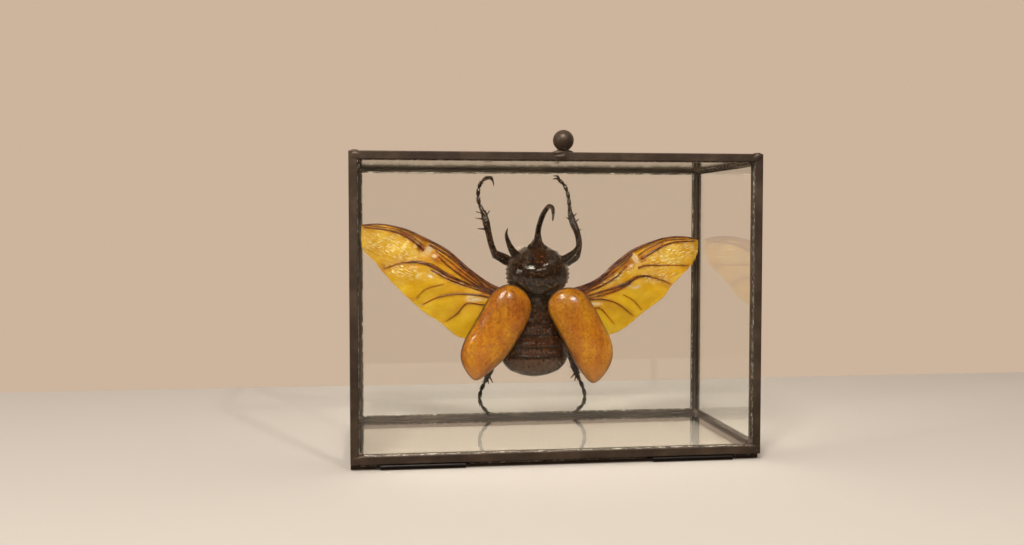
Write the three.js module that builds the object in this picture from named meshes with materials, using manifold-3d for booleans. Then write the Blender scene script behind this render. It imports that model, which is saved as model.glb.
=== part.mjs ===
// A spread five-horned rhinoceros beetle fixed in an upright glass keepsake box with a hinged glass lid.
// Millimetres, +Z up. The lid faces -Y, and the box stands on the table at z = 0.
// Inside the assembly group x = 0 is the middle of the box and y = 0 is the lid's front face.
import * as THREE from "three";
import { mergeVertices } from "three/addons/utils/BufferGeometryUtils.js";
import Module from "manifold-3d";

const wasm = await Module();
wasm.setup();

// Driving dimensions of the box
const boxWidth = 170;
const boxHeight = 127.6;
const boxDepth = 84.7;
const skirt = 2.5; // the box reaches this far below the lid

// The soldered metal strips that hold the panes
const stripCore = 3.2;
const stripLip = 4.9; // how far a lip reaches over a pane, from the outer corner
const rimLip = 3.6; // the same on the open front, which has no pane
const bottomLip = 7.7;
const lipThickness = 1;
const paneThickness = 2;

// The lid: a glass pane in four channel strips
const lidThickness = 3.2;
const lidStrip = 3.4;
const channelDepth = 1.6;
const channelWall = 0.6;
const lidGap = 0.3;
const glassPlay = 0.1;

// The ball knob on the lid's top edge
const ballRadius = 4.25;
const ballHeight = 4.8; // from the lid's top edge to the ball's centre
const knobX = 1.1; // it was soldered on a little off the middle

// The two hinges under the lid
const hingeSpacing = 112;
const barrelLength = 34;
const barrelRadius = 1.15;
const boreRadius = 0.65;
const pinRadius = 0.45;
const hingeY = 1.2;
const hingeZ = 1.25;

// The beetle
const clearance = 0.3; // between parts of the beetle that meet
const membraneThickness = 0.4;
const veinRaise = 0.25; // the veins stand further out on the wing's upper face
const wingRootY = 68;
const wingTipY = 75;
const elytronRise = 7;
const elytronThickness = 0.9;
const elytronRimY = 60;

const halfWidth = boxWidth / 2;
const innerHalf = halfWidth - stripCore;
const rimY = lidThickness + lidGap;
const sideStart = rimY + stripCore;
const sideEnd = boxDepth - stripCore;
const floorTop = skirt + stripCore;
const roofBottom = boxHeight - stripCore;
const paneInset = lipThickness + paneThickness;

// Looks of the materials
const finishes = {
  metal: { color: 0x3c3128, roughness: 0.45, metalness: 0.9 },
  hinge: { color: 0x241d18, roughness: 0.5, metalness: 0.8 },
  glass: { color: 0xdfe8e0, roughness: 0.02, metalness: 0, transparent: true, opacity: 0.25 },
  shell: { color: 0x231510, roughness: 0.25, metalness: 0 },
  elytron: { color: 0xbb6c18, roughness: 0.3, metalness: 0 },
  wing: { color: 0xd69f1e, roughness: 0.35, metalness: 0, transparent: true, opacity: 0.7 },
  glue: { color: 0xf0ecdf, roughness: 0.1, metalness: 0, transparent: true, opacity: 0.5 },
};

const assembly = new THREE.Group();

// Makes a closed solid of a closed geometry.
function solid(geometry) {
  const bare = geometry.clone();
  bare.deleteAttribute("normal");
  bare.deleteAttribute("uv");
  const merged = mergeVertices(bare, 1e-4);
  const mesh = new wasm.Mesh({
    numProp: 3,
    vertProperties: merged.attributes.position.array,
    triVerts: new Uint32Array(merged.index.array),
  });
  return new wasm.Manifold(mesh);
}

// Joins solids that grow or are made as one piece.
function join(solids) {
  return solids.reduce((whole, next) => whole.add(next));
}

// Adds one named piece to the assembly.
function addPiece(name, shape, finish) {
  const { vertProperties, triVerts } = shape.getMesh();
  const geometry = new THREE.BufferGeometry();
  geometry.setAttribute("position", new THREE.BufferAttribute(vertProperties, 3));
  geometry.setIndex(new THREE.BufferAttribute(triVerts, 1));
  geometry.computeVertexNormals();
  const mesh = new THREE.Mesh(geometry, new THREE.MeshStandardMaterial(finishes[finish]));
  mesh.name = name;
  assembly.add(mesh);
}

// A straight block between two corners, given in any order.
function block(cornerA, cornerB) {
  const box = new THREE.Box3().setFromPoints([new THREE.Vector3(...cornerA), new THREE.Vector3(...cornerB)]);
  const size = box.getSize(new THREE.Vector3());
  const centre = box.getCenter(new THREE.Vector3());
  return solid(new THREE.BoxGeometry(size.x, size.y, size.z).translate(centre.x, centre.y, centre.z));
}

// A value read off an evenly spaced list, at a place from 0 to 1.
function readOff(values, place) {
  const position = place * (values.length - 1);
  const low = Math.min(Math.floor(position), values.length - 2);
  return THREE.MathUtils.lerp(values[low], values[low + 1], position - low);
}

// A closed limb along a curve, with its radius read off a list from start to end.
function limb(points, radii, sides = 5, steps = 2 * points.length) {
  const spots = points.map((point) => new THREE.Vector3(...point));
  const curve = new THREE.CatmullRomCurve3(spots, false, "centripetal");
  const frames = curve.computeFrenetFrames(steps);
  const geometry = new THREE.CylinderGeometry(1, 1, 1, sides, steps);
  const position = geometry.attributes.position;
  for (let i = 0; i < position.count; i += 1) {
    const place = position.getY(i) + 0.5;
    const step = Math.round(place * steps);
    const radius = readOff(radii, place);
    const spot = curve.getPointAt(place);
    spot.addScaledVector(frames.normals[step], position.getX(i) * radius);
    spot.addScaledVector(frames.binormals[step], -position.getZ(i) * radius);
    position.setXYZ(i, spot.x, spot.y, spot.z);
  }
  return solid(geometry);
}

// A round-sided trunk along Z. Each section is [z, middle y, half width, half depth].
function trunk(middleX, sections, grow = 0, sides = 15, steps = sections.length + 1) {
  const places = sections.map(([z, y]) => new THREE.Vector3(middleX, y, z));
  const sizes = sections.map(([, , width, depth]) => new THREE.Vector3(width + grow, depth + grow, 0));
  const placeCurve = new THREE.CatmullRomCurve3(places);
  const sizeCurve = new THREE.CatmullRomCurve3(sizes);
  const geometry = new THREE.CylinderGeometry(1, 1, 1, sides, steps);
  const position = geometry.attributes.position;
  for (let i = 0; i < position.count; i += 1) {
    const along = position.getY(i) + 0.5;
    const place = placeCurve.getPoint(along);
    const size = sizeCurve.getPoint(along);
    const x = place.x + position.getX(i) * size.x;
    const y = place.y - position.getZ(i) * size.y;
    const z = place.z + (2 * along - 1) * grow;
    position.setXYZ(i, x, y, z);
  }
  return solid(geometry);
}

// Strips: a square core with a lip over each of the two panes that meet at a corner of the box.
// A corner is [x, y, z] of the outer edge, with inward giving the way to the middle along each axis
// and 0 along the strip. start and end are its two ends.
function cornerStrip({ axis, start, end, corner, inward, cores, lips, offset = 0 }) {
  const across = ["x", "y", "z"].filter((name) => name !== axis);
  const at = (first, second, along) => {
    const spot = new THREE.Vector3(corner.x, corner.y, corner.z);
    spot[across[0]] += inward[across[0]] * first;
    spot[across[1]] += inward[across[1]] * second;
    spot[axis] = along;
    return spot.toArray();
  };
  return join([
    block(at(0, 0, start), at(cores[0], cores[1], end)),
    block(at(0, offset, start), at(lips[0], offset + lipThickness, end)),
    block(at(0, 0, start), at(lipThickness, lips[1], end)),
  ]);
}

function addCaseStrips() {
  const placed = [];
  const add = (name, shape) => {
    const fitted = placed.reduce((rest, other) => rest.subtract(other), shape);
    placed.push(fitted);
    addPiece(name, fitted, "metal");
  };
  const floorLip = floorTop - paneThickness - lipThickness;
  const heights = [
    { name: "bottom", z: 0, up: 1, core: floorTop, lip: bottomLip, offset: floorLip },
    { name: "top", z: boxHeight, up: -1, core: stripCore, lip: stripLip, offset: 0 },
  ];
  const sides = [
    { name: "left", x: -halfWidth, inward: 1 },
    { name: "right", x: halfWidth, inward: -1 },
  ];
  const ends = [
    { name: "front", y: rimY, inward: 1, lip: rimLip },
    { name: "back", y: boxDepth, inward: -1, lip: stripLip },
  ];
  for (const side of sides) {
    for (const height of heights) {
      add(`${height.name}_${side.name}_strip`, cornerStrip({
        axis: "y", start: sideStart, end: sideEnd,
        corner: { x: side.x, y: 0, z: height.z },
        inward: { x: side.inward, z: height.up },
        cores: [stripCore, height.core],
        lips: [stripLip, height.lip],
        offset: height.offset,
      }));
    }
  }
  for (const end of ends) {
    for (const height of heights) {
      const rise = end.name === "front" ? height.core + rimLip - stripCore : height.lip;
      add(`${height.name}_${end.name}_strip`, cornerStrip({
        axis: "x", start: -innerHalf, end: innerHalf,
        corner: { x: 0, y: end.y, z: height.z },
        inward: { y: end.inward, z: height.up },
        cores: [stripCore, height.core],
        lips: [stripLip, rise],
        offset: height.offset,
      }));
    }
  }
  for (const end of ends) {
    for (const side of sides) {
      add(`${end.name}_${side.name}_post`, cornerStrip({
        axis: "z", start: 0, end: boxHeight,
        corner: { x: side.x, y: end.y, z: 0 },
        inward: { x: side.inward, y: end.inward },
        cores: [stripCore, stripCore],
        lips: [end.lip, stripLip],
      }));
    }
  }
}

function addCasePanes() {
  const backInner = boxDepth - paneInset;
  const backOuter = boxDepth - lipThickness;
  const backPane = block([-innerHalf, backInner, floorTop], [innerHalf, backOuter, roofBottom]);
  addPiece("back_pane", backPane, "glass");
  const floorPane = block([-innerHalf, sideStart, floorTop - paneThickness], [innerHalf, sideEnd, floorTop]);
  addPiece("bottom_pane", floorPane, "glass");
  const roofPane = block(
    [-innerHalf, sideStart, boxHeight - paneInset],
    [innerHalf, sideEnd, boxHeight - lipThickness],
  );
  addPiece("top_pane", roofPane, "glass");
  for (const [name, side] of [["left", -1], ["right", 1]]) {
    const outer = side * (halfWidth - lipThickness);
    const inner = side * (halfWidth - paneInset);
    addPiece(`${name}_pane`, block([outer, sideStart, floorTop], [inner, sideEnd, roofBottom]), "glass");
  }
}

// The lid: two full-height strips and two between them, each a channel that holds the pane.
function addLid() {
  const channelBottom = lidStrip - channelDepth;
  const lidInner = halfWidth - lidStrip;
  const strip = (low, high, cutLow, cutHigh) => block(low, high).subtract(block(cutLow, cutHigh));
  for (const [name, side] of [["left", -1], ["right", 1]]) {
    addPiece(`lid_${name}_strip`, strip(
      [side * halfWidth, 0, skirt],
      [side * lidInner, lidThickness, boxHeight],
      [side * (halfWidth - channelBottom), channelWall, skirt - 1],
      [side * (lidInner - 1), lidThickness - channelWall, boxHeight + 1],
    ), "metal");
  }
  for (const [name, edge, inward] of [["bottom", skirt, 1], ["top", boxHeight, -1]]) {
    addPiece(`lid_${name}_strip`, strip(
      [-lidInner, 0, edge],
      [lidInner, lidThickness, edge + inward * lidStrip],
      [-lidInner - 1, channelWall, edge + inward * channelBottom],
      [lidInner + 1, lidThickness - channelWall, edge + inward * (lidStrip + 1)],
    ), "metal");
  }
  const glassEdge = channelBottom + glassPlay;
  addPiece("lid_pane", block(
    [-halfWidth + glassEdge, channelWall, skirt + glassEdge],
    [halfWidth - glassEdge, lidThickness - channelWall, boxHeight - glassEdge],
  ), "glass");
}

// The knob: a turned ball on a ringed neck, standing on a low mound of solder.
function addKnob() {
  const neckRadius = 1.9;
  const ringRadius = 2.6;
  const ringLow = 0.3;
  const ringHigh = 1;
  const moundWidth = 8.2;
  const moundHeight = 0.9;
  const arcSteps = 7;
  const lowest = Math.asin(neckRadius / ballRadius);
  const neck = [[0, 0], [neckRadius, 0], [neckRadius, ringLow], [ringRadius, ringLow]];
  const profile = neck.map(([radius, height]) => new THREE.Vector2(radius, height));
  profile.push(new THREE.Vector2(ringRadius, ringHigh));
  for (let i = 0; i <= arcSteps; i += 1) {
    const turn = lowest + (Math.PI - lowest) * (i / arcSteps);
    const radius = i === arcSteps ? 0 : ballRadius * Math.sin(turn);
    profile.push(new THREE.Vector2(radius, ballHeight - ballRadius * Math.cos(turn)));
  }
  const upright = (geometry) => geometry.rotateX(Math.PI / 2).translate(knobX, lidThickness / 2, boxHeight);
  const turned = solid(upright(new THREE.LatheGeometry(profile, 12)));
  const mound = new THREE.CylinderGeometry(ringRadius / 2, moundWidth / 2, moundHeight, 10)
    .translate(0, moundHeight / 2, 0)
    .scale(1, 1, (lidThickness - glassPlay) / moundWidth);
  addPiece("knob", join([turned, solid(upright(mound))]), "metal");
}

// Hinges: a barrel under the lid turns on a wire staple whose ends go into the box's bottom strip.
function addHinges() {
  const pinOverhang = 1.6;
  const webThickness = 1.2;
  const round = (radius, length, sides) => new THREE.CylinderGeometry(radius, radius, length, sides);
  for (const [name, side] of [["left", -1], ["right", 1]]) {
    const middle = (side * hingeSpacing) / 2;
    const along = (geometry) => solid(geometry.rotateZ(Math.PI / 2).translate(middle, hingeY, hingeZ));
    const web = block(
      [middle - barrelLength / 2, hingeY - webThickness / 2, hingeZ],
      [middle + barrelLength / 2, hingeY + webThickness / 2, skirt],
    );
    const barrel = join([along(round(barrelRadius, barrelLength, 12)), web])
      .subtract(along(round(boreRadius, barrelLength + 2, 8)));
    addPiece(`${name}_hinge_barrel`, barrel, "hinge");
    const pinHalf = barrelLength / 2 + pinOverhang;
    const wire = [along(round(pinRadius, 2 * pinHalf, 6))];
    for (const end of [-1, 1]) {
      const legX = middle + end * (pinHalf - pinRadius);
      const leg = round(pinRadius, rimY - hingeY, 6).translate(legX, (rimY + hingeY) / 2, hingeZ);
      wire.push(solid(leg));
    }
    addPiece(`${name}_hinge_pin`, join(wire), "hinge");
  }
}

// The beetle's trunk behind the neck shield: thorax and ringed abdomen.
const bodySections = [
  [26.9, 70.2, 1.5, 1.2],
  [27.9, 70.2, 6.8, 4],
  [30, 70.2, 11.8, 6.4],
  [33, 70.2, 14.6, 7.7],
  [37, 70, 16.2, 8.4],
  [37.6, 70, 15.7, 8],
  [43, 70, 16.6, 8.6],
  [43.6, 70, 16, 8.2],
  [49, 70, 16.1, 8.7],
  [55, 70, 14.6, 8.7],
  [61, 70, 12.4, 8.6],
  [66, 70, 10.6, 8.2],
];
const pronotumSections = [
  [66.3, 68, 9.6, 8.4],
  [68, 67.6, 11.8, 9.8],
  [71, 67.2, 14, 10.9],
  [74.5, 67, 14.8, 11.4],
  [78, 67.2, 14.7, 11.1],
  [81.2, 68, 13.7, 10],
  [84, 69, 11.6, 8.4],
  [86.4, 70, 8.6, 6.6],
  [88, 70.6, 5, 4.4],
];
const headSections = [
  [85, 71.4, 7, 4.8],
  [87.2, 71, 7, 4.8],
  [89.2, 70.4, 5.2, 4.2],
  [90.8, 69.8, 3.6, 3.4],
  [92, 69.6, 2, 2],
];
const pronotumMiddle = 0.9;

const grownBody = trunk(0, bodySections, clearance);
const grownPronotum = trunk(pronotumMiddle, pronotumSections, clearance);

// Trims what grows from the trunk, so that it starts a little off the trunk's surface.
function trim(shape) {
  return shape.subtract(grownBody).subtract(grownPronotum);
}

function addTrunk() {
  const body = trunk(0, bodySections);
  const scutellum = limb([[0, 62.6, 65.9], [0, 62.2, 62.5], [0, 61.9, 59]], [2.9, 1.9, 0.3], 6, 4);
  addPiece("body", join([body, scutellum]), "shell");

  const frontHorn = (points) => limb(points, [3, 2.2, 1.6, 1.1, 0.25], 6, 7);
  const frontHorns = [
    frontHorn([[-7.5, 68, 82], [-11, 65, 86], [-13.7, 61, 90.5], [-15, 57.5, 94.2], [-14.6, 55, 96.8]]),
    frontHorn([[10, 68, 80], [14.8, 65.5, 83], [18.4, 61.5, 87], [19.2, 58.5, 91], [18.4, 56.5, 94]]),
  ];
  const backHorn = (side) => limb([
    [pronotumMiddle + side * 5.2, 61, 80],
    [pronotumMiddle + side * 6, 56, 82.4],
    [pronotumMiddle + side * 6.4, 53, 84.8],
  ], [2.8, 1.6, 0.3], 5, 3);
  const shield = trunk(pronotumMiddle, pronotumSections);
  addPiece("pronotum", join([shield, ...frontHorns, backHorn(-1), backHorn(1)]), "shell");

  const headMiddle = 1.2;
  const eyeRadius = 1.4;
  const eyeX = 6;
  const eye = (side) => solid(
    new THREE.SphereGeometry(eyeRadius, 6, 4).translate(headMiddle + side * eyeX, 71.4, 88.2),
  );
  const horn = limb([
    [1.4, 69, 89],
    [0.9, 65, 95.3],
    [1.2, 60, 99.9],
    [2, 54, 104],
    [3.3, 49, 106.5],
    [4.2, 46, 105.8],
    [4.3, 44, 103.5],
    [3.7, 42, 100],
  ], [2.7, 1.9, 1.6, 1.5, 1.2, 1, 0.3], 6, 12);
  const head = join([trunk(headMiddle, headSections, 0, 12, 6), eye(-1), eye(1), horn]);
  addPiece("head", trim(head), "shell");
}

// The wing cases: domed shells over an outline of [x, z] points, opened to each side of the body.
function elytron(outline, middle) {
  const edge = new THREE.CatmullRomCurve3(outline.map(([x, z]) => new THREE.Vector3(x, 0, z)), true);
  const edgeSamples = 180;
  const edgePoints = edge.getPoints(edgeSamples).map((point) => {
    const x = point.x - middle[0];
    const z = point.z - middle[1];
    return { turn: Math.atan2(z, x), reach: Math.hypot(x, z) };
  });
  const lower = edgePoints.filter((point) => point.turn < 0);
  const tip = lower.reduce((far, point) => (point.reach > far.reach ? point : far));
  const reachAt = (turn) => {
    const off = (point) => Math.abs(Math.atan2(Math.sin(point.turn - turn), Math.cos(point.turn - turn)));
    return edgePoints.reduce((best, point) => (off(point) < off(best) ? point : best)).reach;
  };
  const rings = 4;
  const spokes = 20;
  const innerReach = 0.93;
  const profile = [];
  for (let i = 0; i <= rings; i += 1) {
    const turn = (Math.PI / 2) * (i / rings);
    profile.push(new THREE.Vector2(i === 0 ? 0 : Math.sin(turn), elytronRise * Math.cos(turn)));
  }
  for (let i = rings; i >= 0; i -= 1) {
    const turn = (Math.PI / 2) * (i / rings);
    const inner = (elytronRise - elytronThickness) * Math.cos(turn);
    profile.push(new THREE.Vector2(i === 0 ? 0 : innerReach * Math.sin(turn), inner));
  }
  const geometry = new THREE.LatheGeometry(profile, spokes, Math.PI / 2 - tip.turn);
  const position = geometry.attributes.position;
  for (let i = 0; i < position.count; i += 1) {
    const x = position.getX(i);
    const z = position.getZ(i);
    const reach = reachAt(Math.atan2(z, x));
    const depth = elytronRimY - position.getY(i);
    position.setXYZ(i, middle[0] + x * reach, depth, middle[1] + z * reach);
  }
  return solid(geometry);
}

function addElytra() {
  const left = elytron([
    [-13.5, 71], [-20, 68.3], [-24.5, 62], [-29, 54], [-34, 45.5], [-35.8, 38], [-33.5, 31.5],
    [-29, 27], [-22, 31], [-14.5, 38], [-8, 48], [-4, 56], [-3.2, 62], [-6.5, 68],
  ], [-19.5, 49.5]);
  const right = elytron([
    [14.5, 69.3], [20, 68], [26, 60.5], [30.5, 52.5], [34.5, 44], [35.2, 37], [32, 29.5],
    [26, 24.6], [19.5, 31], [13.5, 41], [8, 51.5], [4.6, 59], [5, 64], [9, 68],
  ], [19.8, 47.5]);
  for (const [name, shape] of [["left_elytron", left], ["right_elytron", right]]) {
    addPiece(name, trim(shape), "elytron");
  }
}

// The flying wings: one thin bowed sheet each, with raised veins.
function wingY(x) {
  const rootX = 9;
  const reach = THREE.MathUtils.clamp((Math.abs(x) - rootX) / (innerHalf - rootX), 0, 1);
  return wingRootY + (wingTipY - wingRootY) * (1 - (1 - reach) ** 2);
}

function wing(side, leading, trailing, veins) {
  const curveOf = (points) => new THREE.CatmullRomCurve3(points.map(([x, z]) => new THREE.Vector3(x, 0, z)));
  const front = curveOf(leading);
  const rear = curveOf(trailing);
  const sheet = new THREE.BoxGeometry(1, 1, 1, 10, 1, 3);
  const position = sheet.attributes.position;
  for (let i = 0; i < position.count; i += 1) {
    const along = position.getX(i) + 0.5;
    const spot = front.getPointAt(along).lerp(rear.getPointAt(along), position.getZ(i) + 0.5);
    const y = wingY(spot.x) - side * position.getY(i) * membraneThickness;
    position.setXYZ(i, spot.x, y, spot.z);
  }
  const ridges = veins.map(({ path, radii }) => {
    const raised = path.map(([x, z]) => [x, wingY(x) - veinRaise, z]);
    return limb(raised, radii, 3, path.length);
  });
  return join([solid(sheet), ...ridges]);
}

const frontEdgeRadii = [1.2, 0.9, 0.8, 0.7, 0.5, 0.35];
const mainVeinRadii = [0.9, 0.6, 0.35];
const rearVeinRadii = [0.7, 0.5, 0.35];
const innerVeinRadii = [0.8, 0.6, 0.5];

function addWings() {
  const leftLeading = [
    [-9, 66], [-19.4, 69.3], [-30, 76.6], [-40.7, 86], [-49.2, 90.8], [-61, 96.3], [-72.7, 98.5], [-80.2, 98],
  ];
  const leftTrailing = [
    [-9, 56], [-20, 48], [-30, 45], [-36, 46], [-44, 52.5], [-52, 57.8],
    [-63, 68], [-70, 75.5], [-75, 82], [-79.6, 86.5], [-80.6, 91.5],
  ];
  const leftVeins = [
    { radii: frontEdgeRadii, path: leftLeading },
    { radii: innerVeinRadii, path: [[-14, 66], [-21.6, 68.4], [-30, 74.6], [-40.6, 83], [-49.2, 88]] },
    { radii: mainVeinRadii, path: [[-51.7, 86.1], [-53.4, 87.9], [-59.4, 92.5], [-66.3, 95.3], [-79.1, 97]] },
    {
      radii: mainVeinRadii,
      path: [
        [-14, 63], [-22.5, 67.3], [-31.9, 70.9], [-40.6, 74.7], [-49.2, 79.7], [-57.1, 80.6], [-69.8, 77.7],
      ],
    },
    {
      radii: mainVeinRadii,
      path: [[-14, 61], [-23.2, 64.7], [-33.8, 65.9], [-40.6, 65.4], [-47.1, 63.6], [-52.3, 60.8]],
    },
    { radii: rearVeinRadii, path: [[-14, 59], [-25.8, 61], [-31.9, 61.4], [-36.3, 56.6], [-41.1, 53.2]] },
  ];
  const rightLeading = [
    [9, 66], [21.4, 68.4], [31, 72.4], [38.5, 79], [47, 85.3],
    [59, 90.4], [67.4, 92.2], [75, 92.2], [80.6, 91],
  ];
  const rightTrailing = [
    [9, 56], [20, 48.5], [30, 45], [37.3, 46], [44, 48.8],
    [52, 55], [63.5, 63.4], [68, 69.2], [77.5, 79], [80.6, 84.5],
  ];
  const rightVeins = [
    { radii: frontEdgeRadii, path: rightLeading },
    { radii: innerVeinRadii, path: [[14, 64], [22, 66.5], [30.7, 70.5], [38.4, 76.6], [47.7, 83.4]] },
    { radii: mainVeinRadii, path: [[52.6, 81.8], [58.8, 85.7], [66.9, 89.3], [79, 90.4]] },
    { radii: rearVeinRadii, path: [[50.7, 77.5], [54, 78.6], [58, 78.8], [75.3, 78.5]] },
    {
      radii: mainVeinRadii,
      path: [[14, 61.5], [27.3, 65], [38.5, 68], [45, 70.3], [53.2, 73.2], [63, 71.4], [67, 69.7]],
    },
    { radii: mainVeinRadii, path: [[14, 60], [26.8, 62.6], [34.6, 62.5], [40.5, 60.5], [48.3, 54.8]] },
    { radii: rearVeinRadii, path: [[14, 57.5], [28.5, 58.5], [31.7, 58.5], [35.4, 54.9], [39.1, 50.5]] },
  ];
  const left = wing(-1, leftLeading, leftTrailing, leftVeins);
  const right = wing(1, rightLeading, rightTrailing, rightVeins);
  addPiece("left_hindwing", trim(left), "wing");
  addPiece("right_hindwing", trim(right), "wing");
}

// Legs: thigh, shin with its teeth, a five-jointed foot and two claws, grown as one.
const thighRadii = [2.1, 2.6, 2];
const shinRadii = [1.7, 1.5, 1.5, 1.8, 1.3];
const footRadii = [0.8, 1.1, 0.7, 1.1, 0.7, 1.05, 0.7, 1, 0.7, 0.9, 0.6];
const clawRadii = [0.6, 0.5, 0.12];
const spineRadii = [0.7, 0.12];

function leg({ thigh, shin, foot, claws, spines, thickness = 1 }) {
  const scaled = (radii) => radii.map((radius) => radius * thickness);
  return join([
    limb(thigh, scaled(thighRadii), 6, 3),
    limb(shin, scaled(shinRadii), 6, 5),
    limb(foot, scaled(footRadii), 4, 10),
    ...claws.map((path) => limb(path, clawRadii, 3, 3)),
    ...spines.map((path) => limb(path, spineRadii, 3, 1)),
  ]);
}

function addLegs() {
  const frontLeft = leg({
    thigh: [[-8, 74.5, 78.5], [-13.5, 73.5, 82], [-18.8, 72.2, 84.6]],
    shin: [[-18.2, 72.2, 84], [-20, 72.2, 88.5], [-21.2, 73.4, 94], [-22.4, 75, 100], [-23.6, 76, 104.8]],
    foot: [
      [-23.4, 76, 104], [-25.3, 76.8, 108], [-25.8, 77.3, 112.5],
      [-25.1, 77.8, 116.5], [-23.2, 78.3, 119.2], [-20.7, 78.8, 120.8],
    ],
    claws: [
      [[-21.2, 78.7, 120.6], [-18.9, 79.2, 119.4], [-18, 79.6, 116.5]],
      [[-21.2, 78.7, 120.6], [-19.4, 78, 120.6], [-18.4, 77.6, 118.6]],
    ],
    spines: [
      [[-22, 75, 100.6], [-27.4, 76, 101.4]],
      [[-22.8, 75.6, 103.4], [-27.2, 76.4, 104.4]],
      [[-21.4, 74, 96], [-26.6, 75.4, 96.4]],
      [[-22.6, 75.4, 102], [-20.4, 75, 105]],
    ],
  });
  const frontRight = leg({
    thigh: [[8, 74.5, 77.5], [14.5, 73.6, 80], [20.6, 72.2, 83.4]],
    shin: [[20.4, 72.2, 82.8], [21.6, 72, 89], [20.9, 73, 94.3], [19.2, 75, 99.4], [18, 76, 104]],
    foot: [
      [18, 76, 103.2], [17.8, 76.8, 107.5], [17.4, 77.3, 111.5],
      [16.5, 77.8, 115], [15, 78.3, 117.8], [13, 78.8, 119.6],
    ],
    claws: [
      [[13.4, 78.7, 119.3], [11.8, 79, 120.2], [10.2, 79.5, 119.8]],
      [[13.4, 78.7, 119.3], [12.4, 78.2, 121.2], [10.2, 78, 121.4]],
    ],
    spines: [
      [[19.4, 75, 99.2], [15.9, 76, 102]],
      [[18.6, 75.4, 101.2], [21.2, 76.2, 103.6]],
      [[19.4, 74.8, 98.8], [22.3, 75.8, 101]],
      [[20.6, 73.6, 95], [23.4, 74.8, 96.2]],
    ],
  });
  const middle = (side, footEnd) => leg({
    thickness: 0.9,
    thigh: [[side * 8.5, 75, 64], [side * 15.5, 75, 60.5], [side * 21.5, 75, 55.5]],
    shin: [[side * 21, 75, 56], [side * 24, 75.2, 51], [side * 26.4, 75.8, 46.4], [side * 28.4, 76.5, 42]],
    foot: [[side * 28, 76.4, 42.6], [side * 29.2, 77.2, 38], [side * 28.8, 78.2, 34.4], footEnd],
    claws: [[
      footEnd,
      [footEnd[0] - side * 1.6, 79.4, footEnd[2] - 0.4],
      [footEnd[0] - side * 2.2, 79.8, footEnd[2] + 1],
    ]],
    spines: [
      [[side * 27.6, 76, 43.6], [side * 30, 76.6, 41]],
      [[side * 26.6, 75.8, 46], [side * 29, 76.2, 44.6]],
    ],
  });
  const hindLeft = leg({
    thigh: [[-8, 74.5, 51], [-13.5, 74.8, 44], [-17, 75, 37.5]],
    shin: [[-16.6, 75, 38.2], [-18.4, 75.6, 34], [-20.2, 76, 29.8], [-21.7, 76.5, 25.8]],
    foot: [
      [-21.4, 76.4, 26.6], [-22.8, 77, 23.5], [-24.6, 78, 19],
      [-25.1, 78.5, 15.2], [-23.9, 79, 11.8], [-21.6, 79.6, 9.2],
    ],
    claws: [
      [[-22, 79.5, 9.6], [-20.6, 80, 8.4], [-18.9, 80.4, 8]],
      [[-22, 79.5, 9.6], [-21.4, 79, 8], [-19.8, 78.6, 7.2]],
    ],
    spines: [
      [[-21, 76.4, 27], [-18.8, 77, 22.9]],
      [[-21.6, 76.4, 26.4], [-21, 76.4, 22.4]],
      [[-20, 76, 30.2], [-18.4, 76.2, 29]],
      [[-20.8, 76.4, 27.8], [-23.2, 76.6, 26.2]],
    ],
  });
  const hindRight = leg({
    thigh: [[8, 74.5, 51], [13, 74.8, 45], [16.4, 75, 39.8]],
    shin: [[16, 75, 40.6], [18, 75.6, 36], [19.8, 76, 31.6], [21.8, 76.5, 26.6]],
    foot: [
      [21.4, 76.4, 27.4], [22.9, 77, 24], [24.8, 78, 20],
      [25.9, 78.5, 15.5], [25, 79, 11.4], [22.4, 79.6, 8.8],
    ],
    claws: [
      [[22.8, 79.5, 9.2], [21.4, 80, 8], [19.8, 80.4, 7.7]],
      [[22.8, 79.5, 9.2], [22, 79, 7.8], [20.6, 78.6, 7.1]],
    ],
    spines: [
      [[21.4, 76.4, 27.8], [18.6, 77, 24.6]],
      [[21.6, 76.4, 27], [20.4, 76.6, 23]],
      [[20.2, 76, 31.4], [18, 76.2, 30]],
      [[21.2, 76.2, 28.6], [23.6, 76.6, 27]],
    ],
  });
  const legs = {
    front_left_leg: frontLeft,
    front_right_leg: frontRight,
    middle_left_leg: middle(-1, [-26.6, 79, 31.6]),
    middle_right_leg: middle(1, [27.4, 79, 31.4]),
    hind_left_leg: hindLeft,
    hind_right_leg: hindRight,
  };
  for (const [name, shape] of Object.entries(legs)) {
    addPiece(name, trim(shape), "shell");
  }
}

// A clear dab of glue fixes the underside of the thorax to the back pane.
function addGlue() {
  const backInner = boxDepth - paneInset;
  const dabThickness = 3.4;
  const dabHeight = 60;
  const dabRadius = 7.5;
  const dabTopRadius = 6;
  const dab = new THREE.CylinderGeometry(dabRadius, dabTopRadius, dabThickness, 14)
    .translate(0, backInner - dabThickness / 2, dabHeight);
  addPiece("glue_dab", trim(solid(dab)), "glue");
}

addCaseStrips();
addCasePanes();
addLid();
addKnob();
addHinges();
addTrunk();
addElytra();
addWings();
addLegs();
addGlue();

// The part's own origin is under the middle of everything, the knob's overhang in front included.
const frontOverhang = ballRadius - lidThickness / 2;
assembly.position.y = -(boxDepth - frontOverhang) / 2;
const specimen = new THREE.Group();
specimen.add(assembly);

export default specimen;
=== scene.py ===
import math
import random
import bmesh
import bpy
import numpy as np
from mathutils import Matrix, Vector, noise


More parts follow.
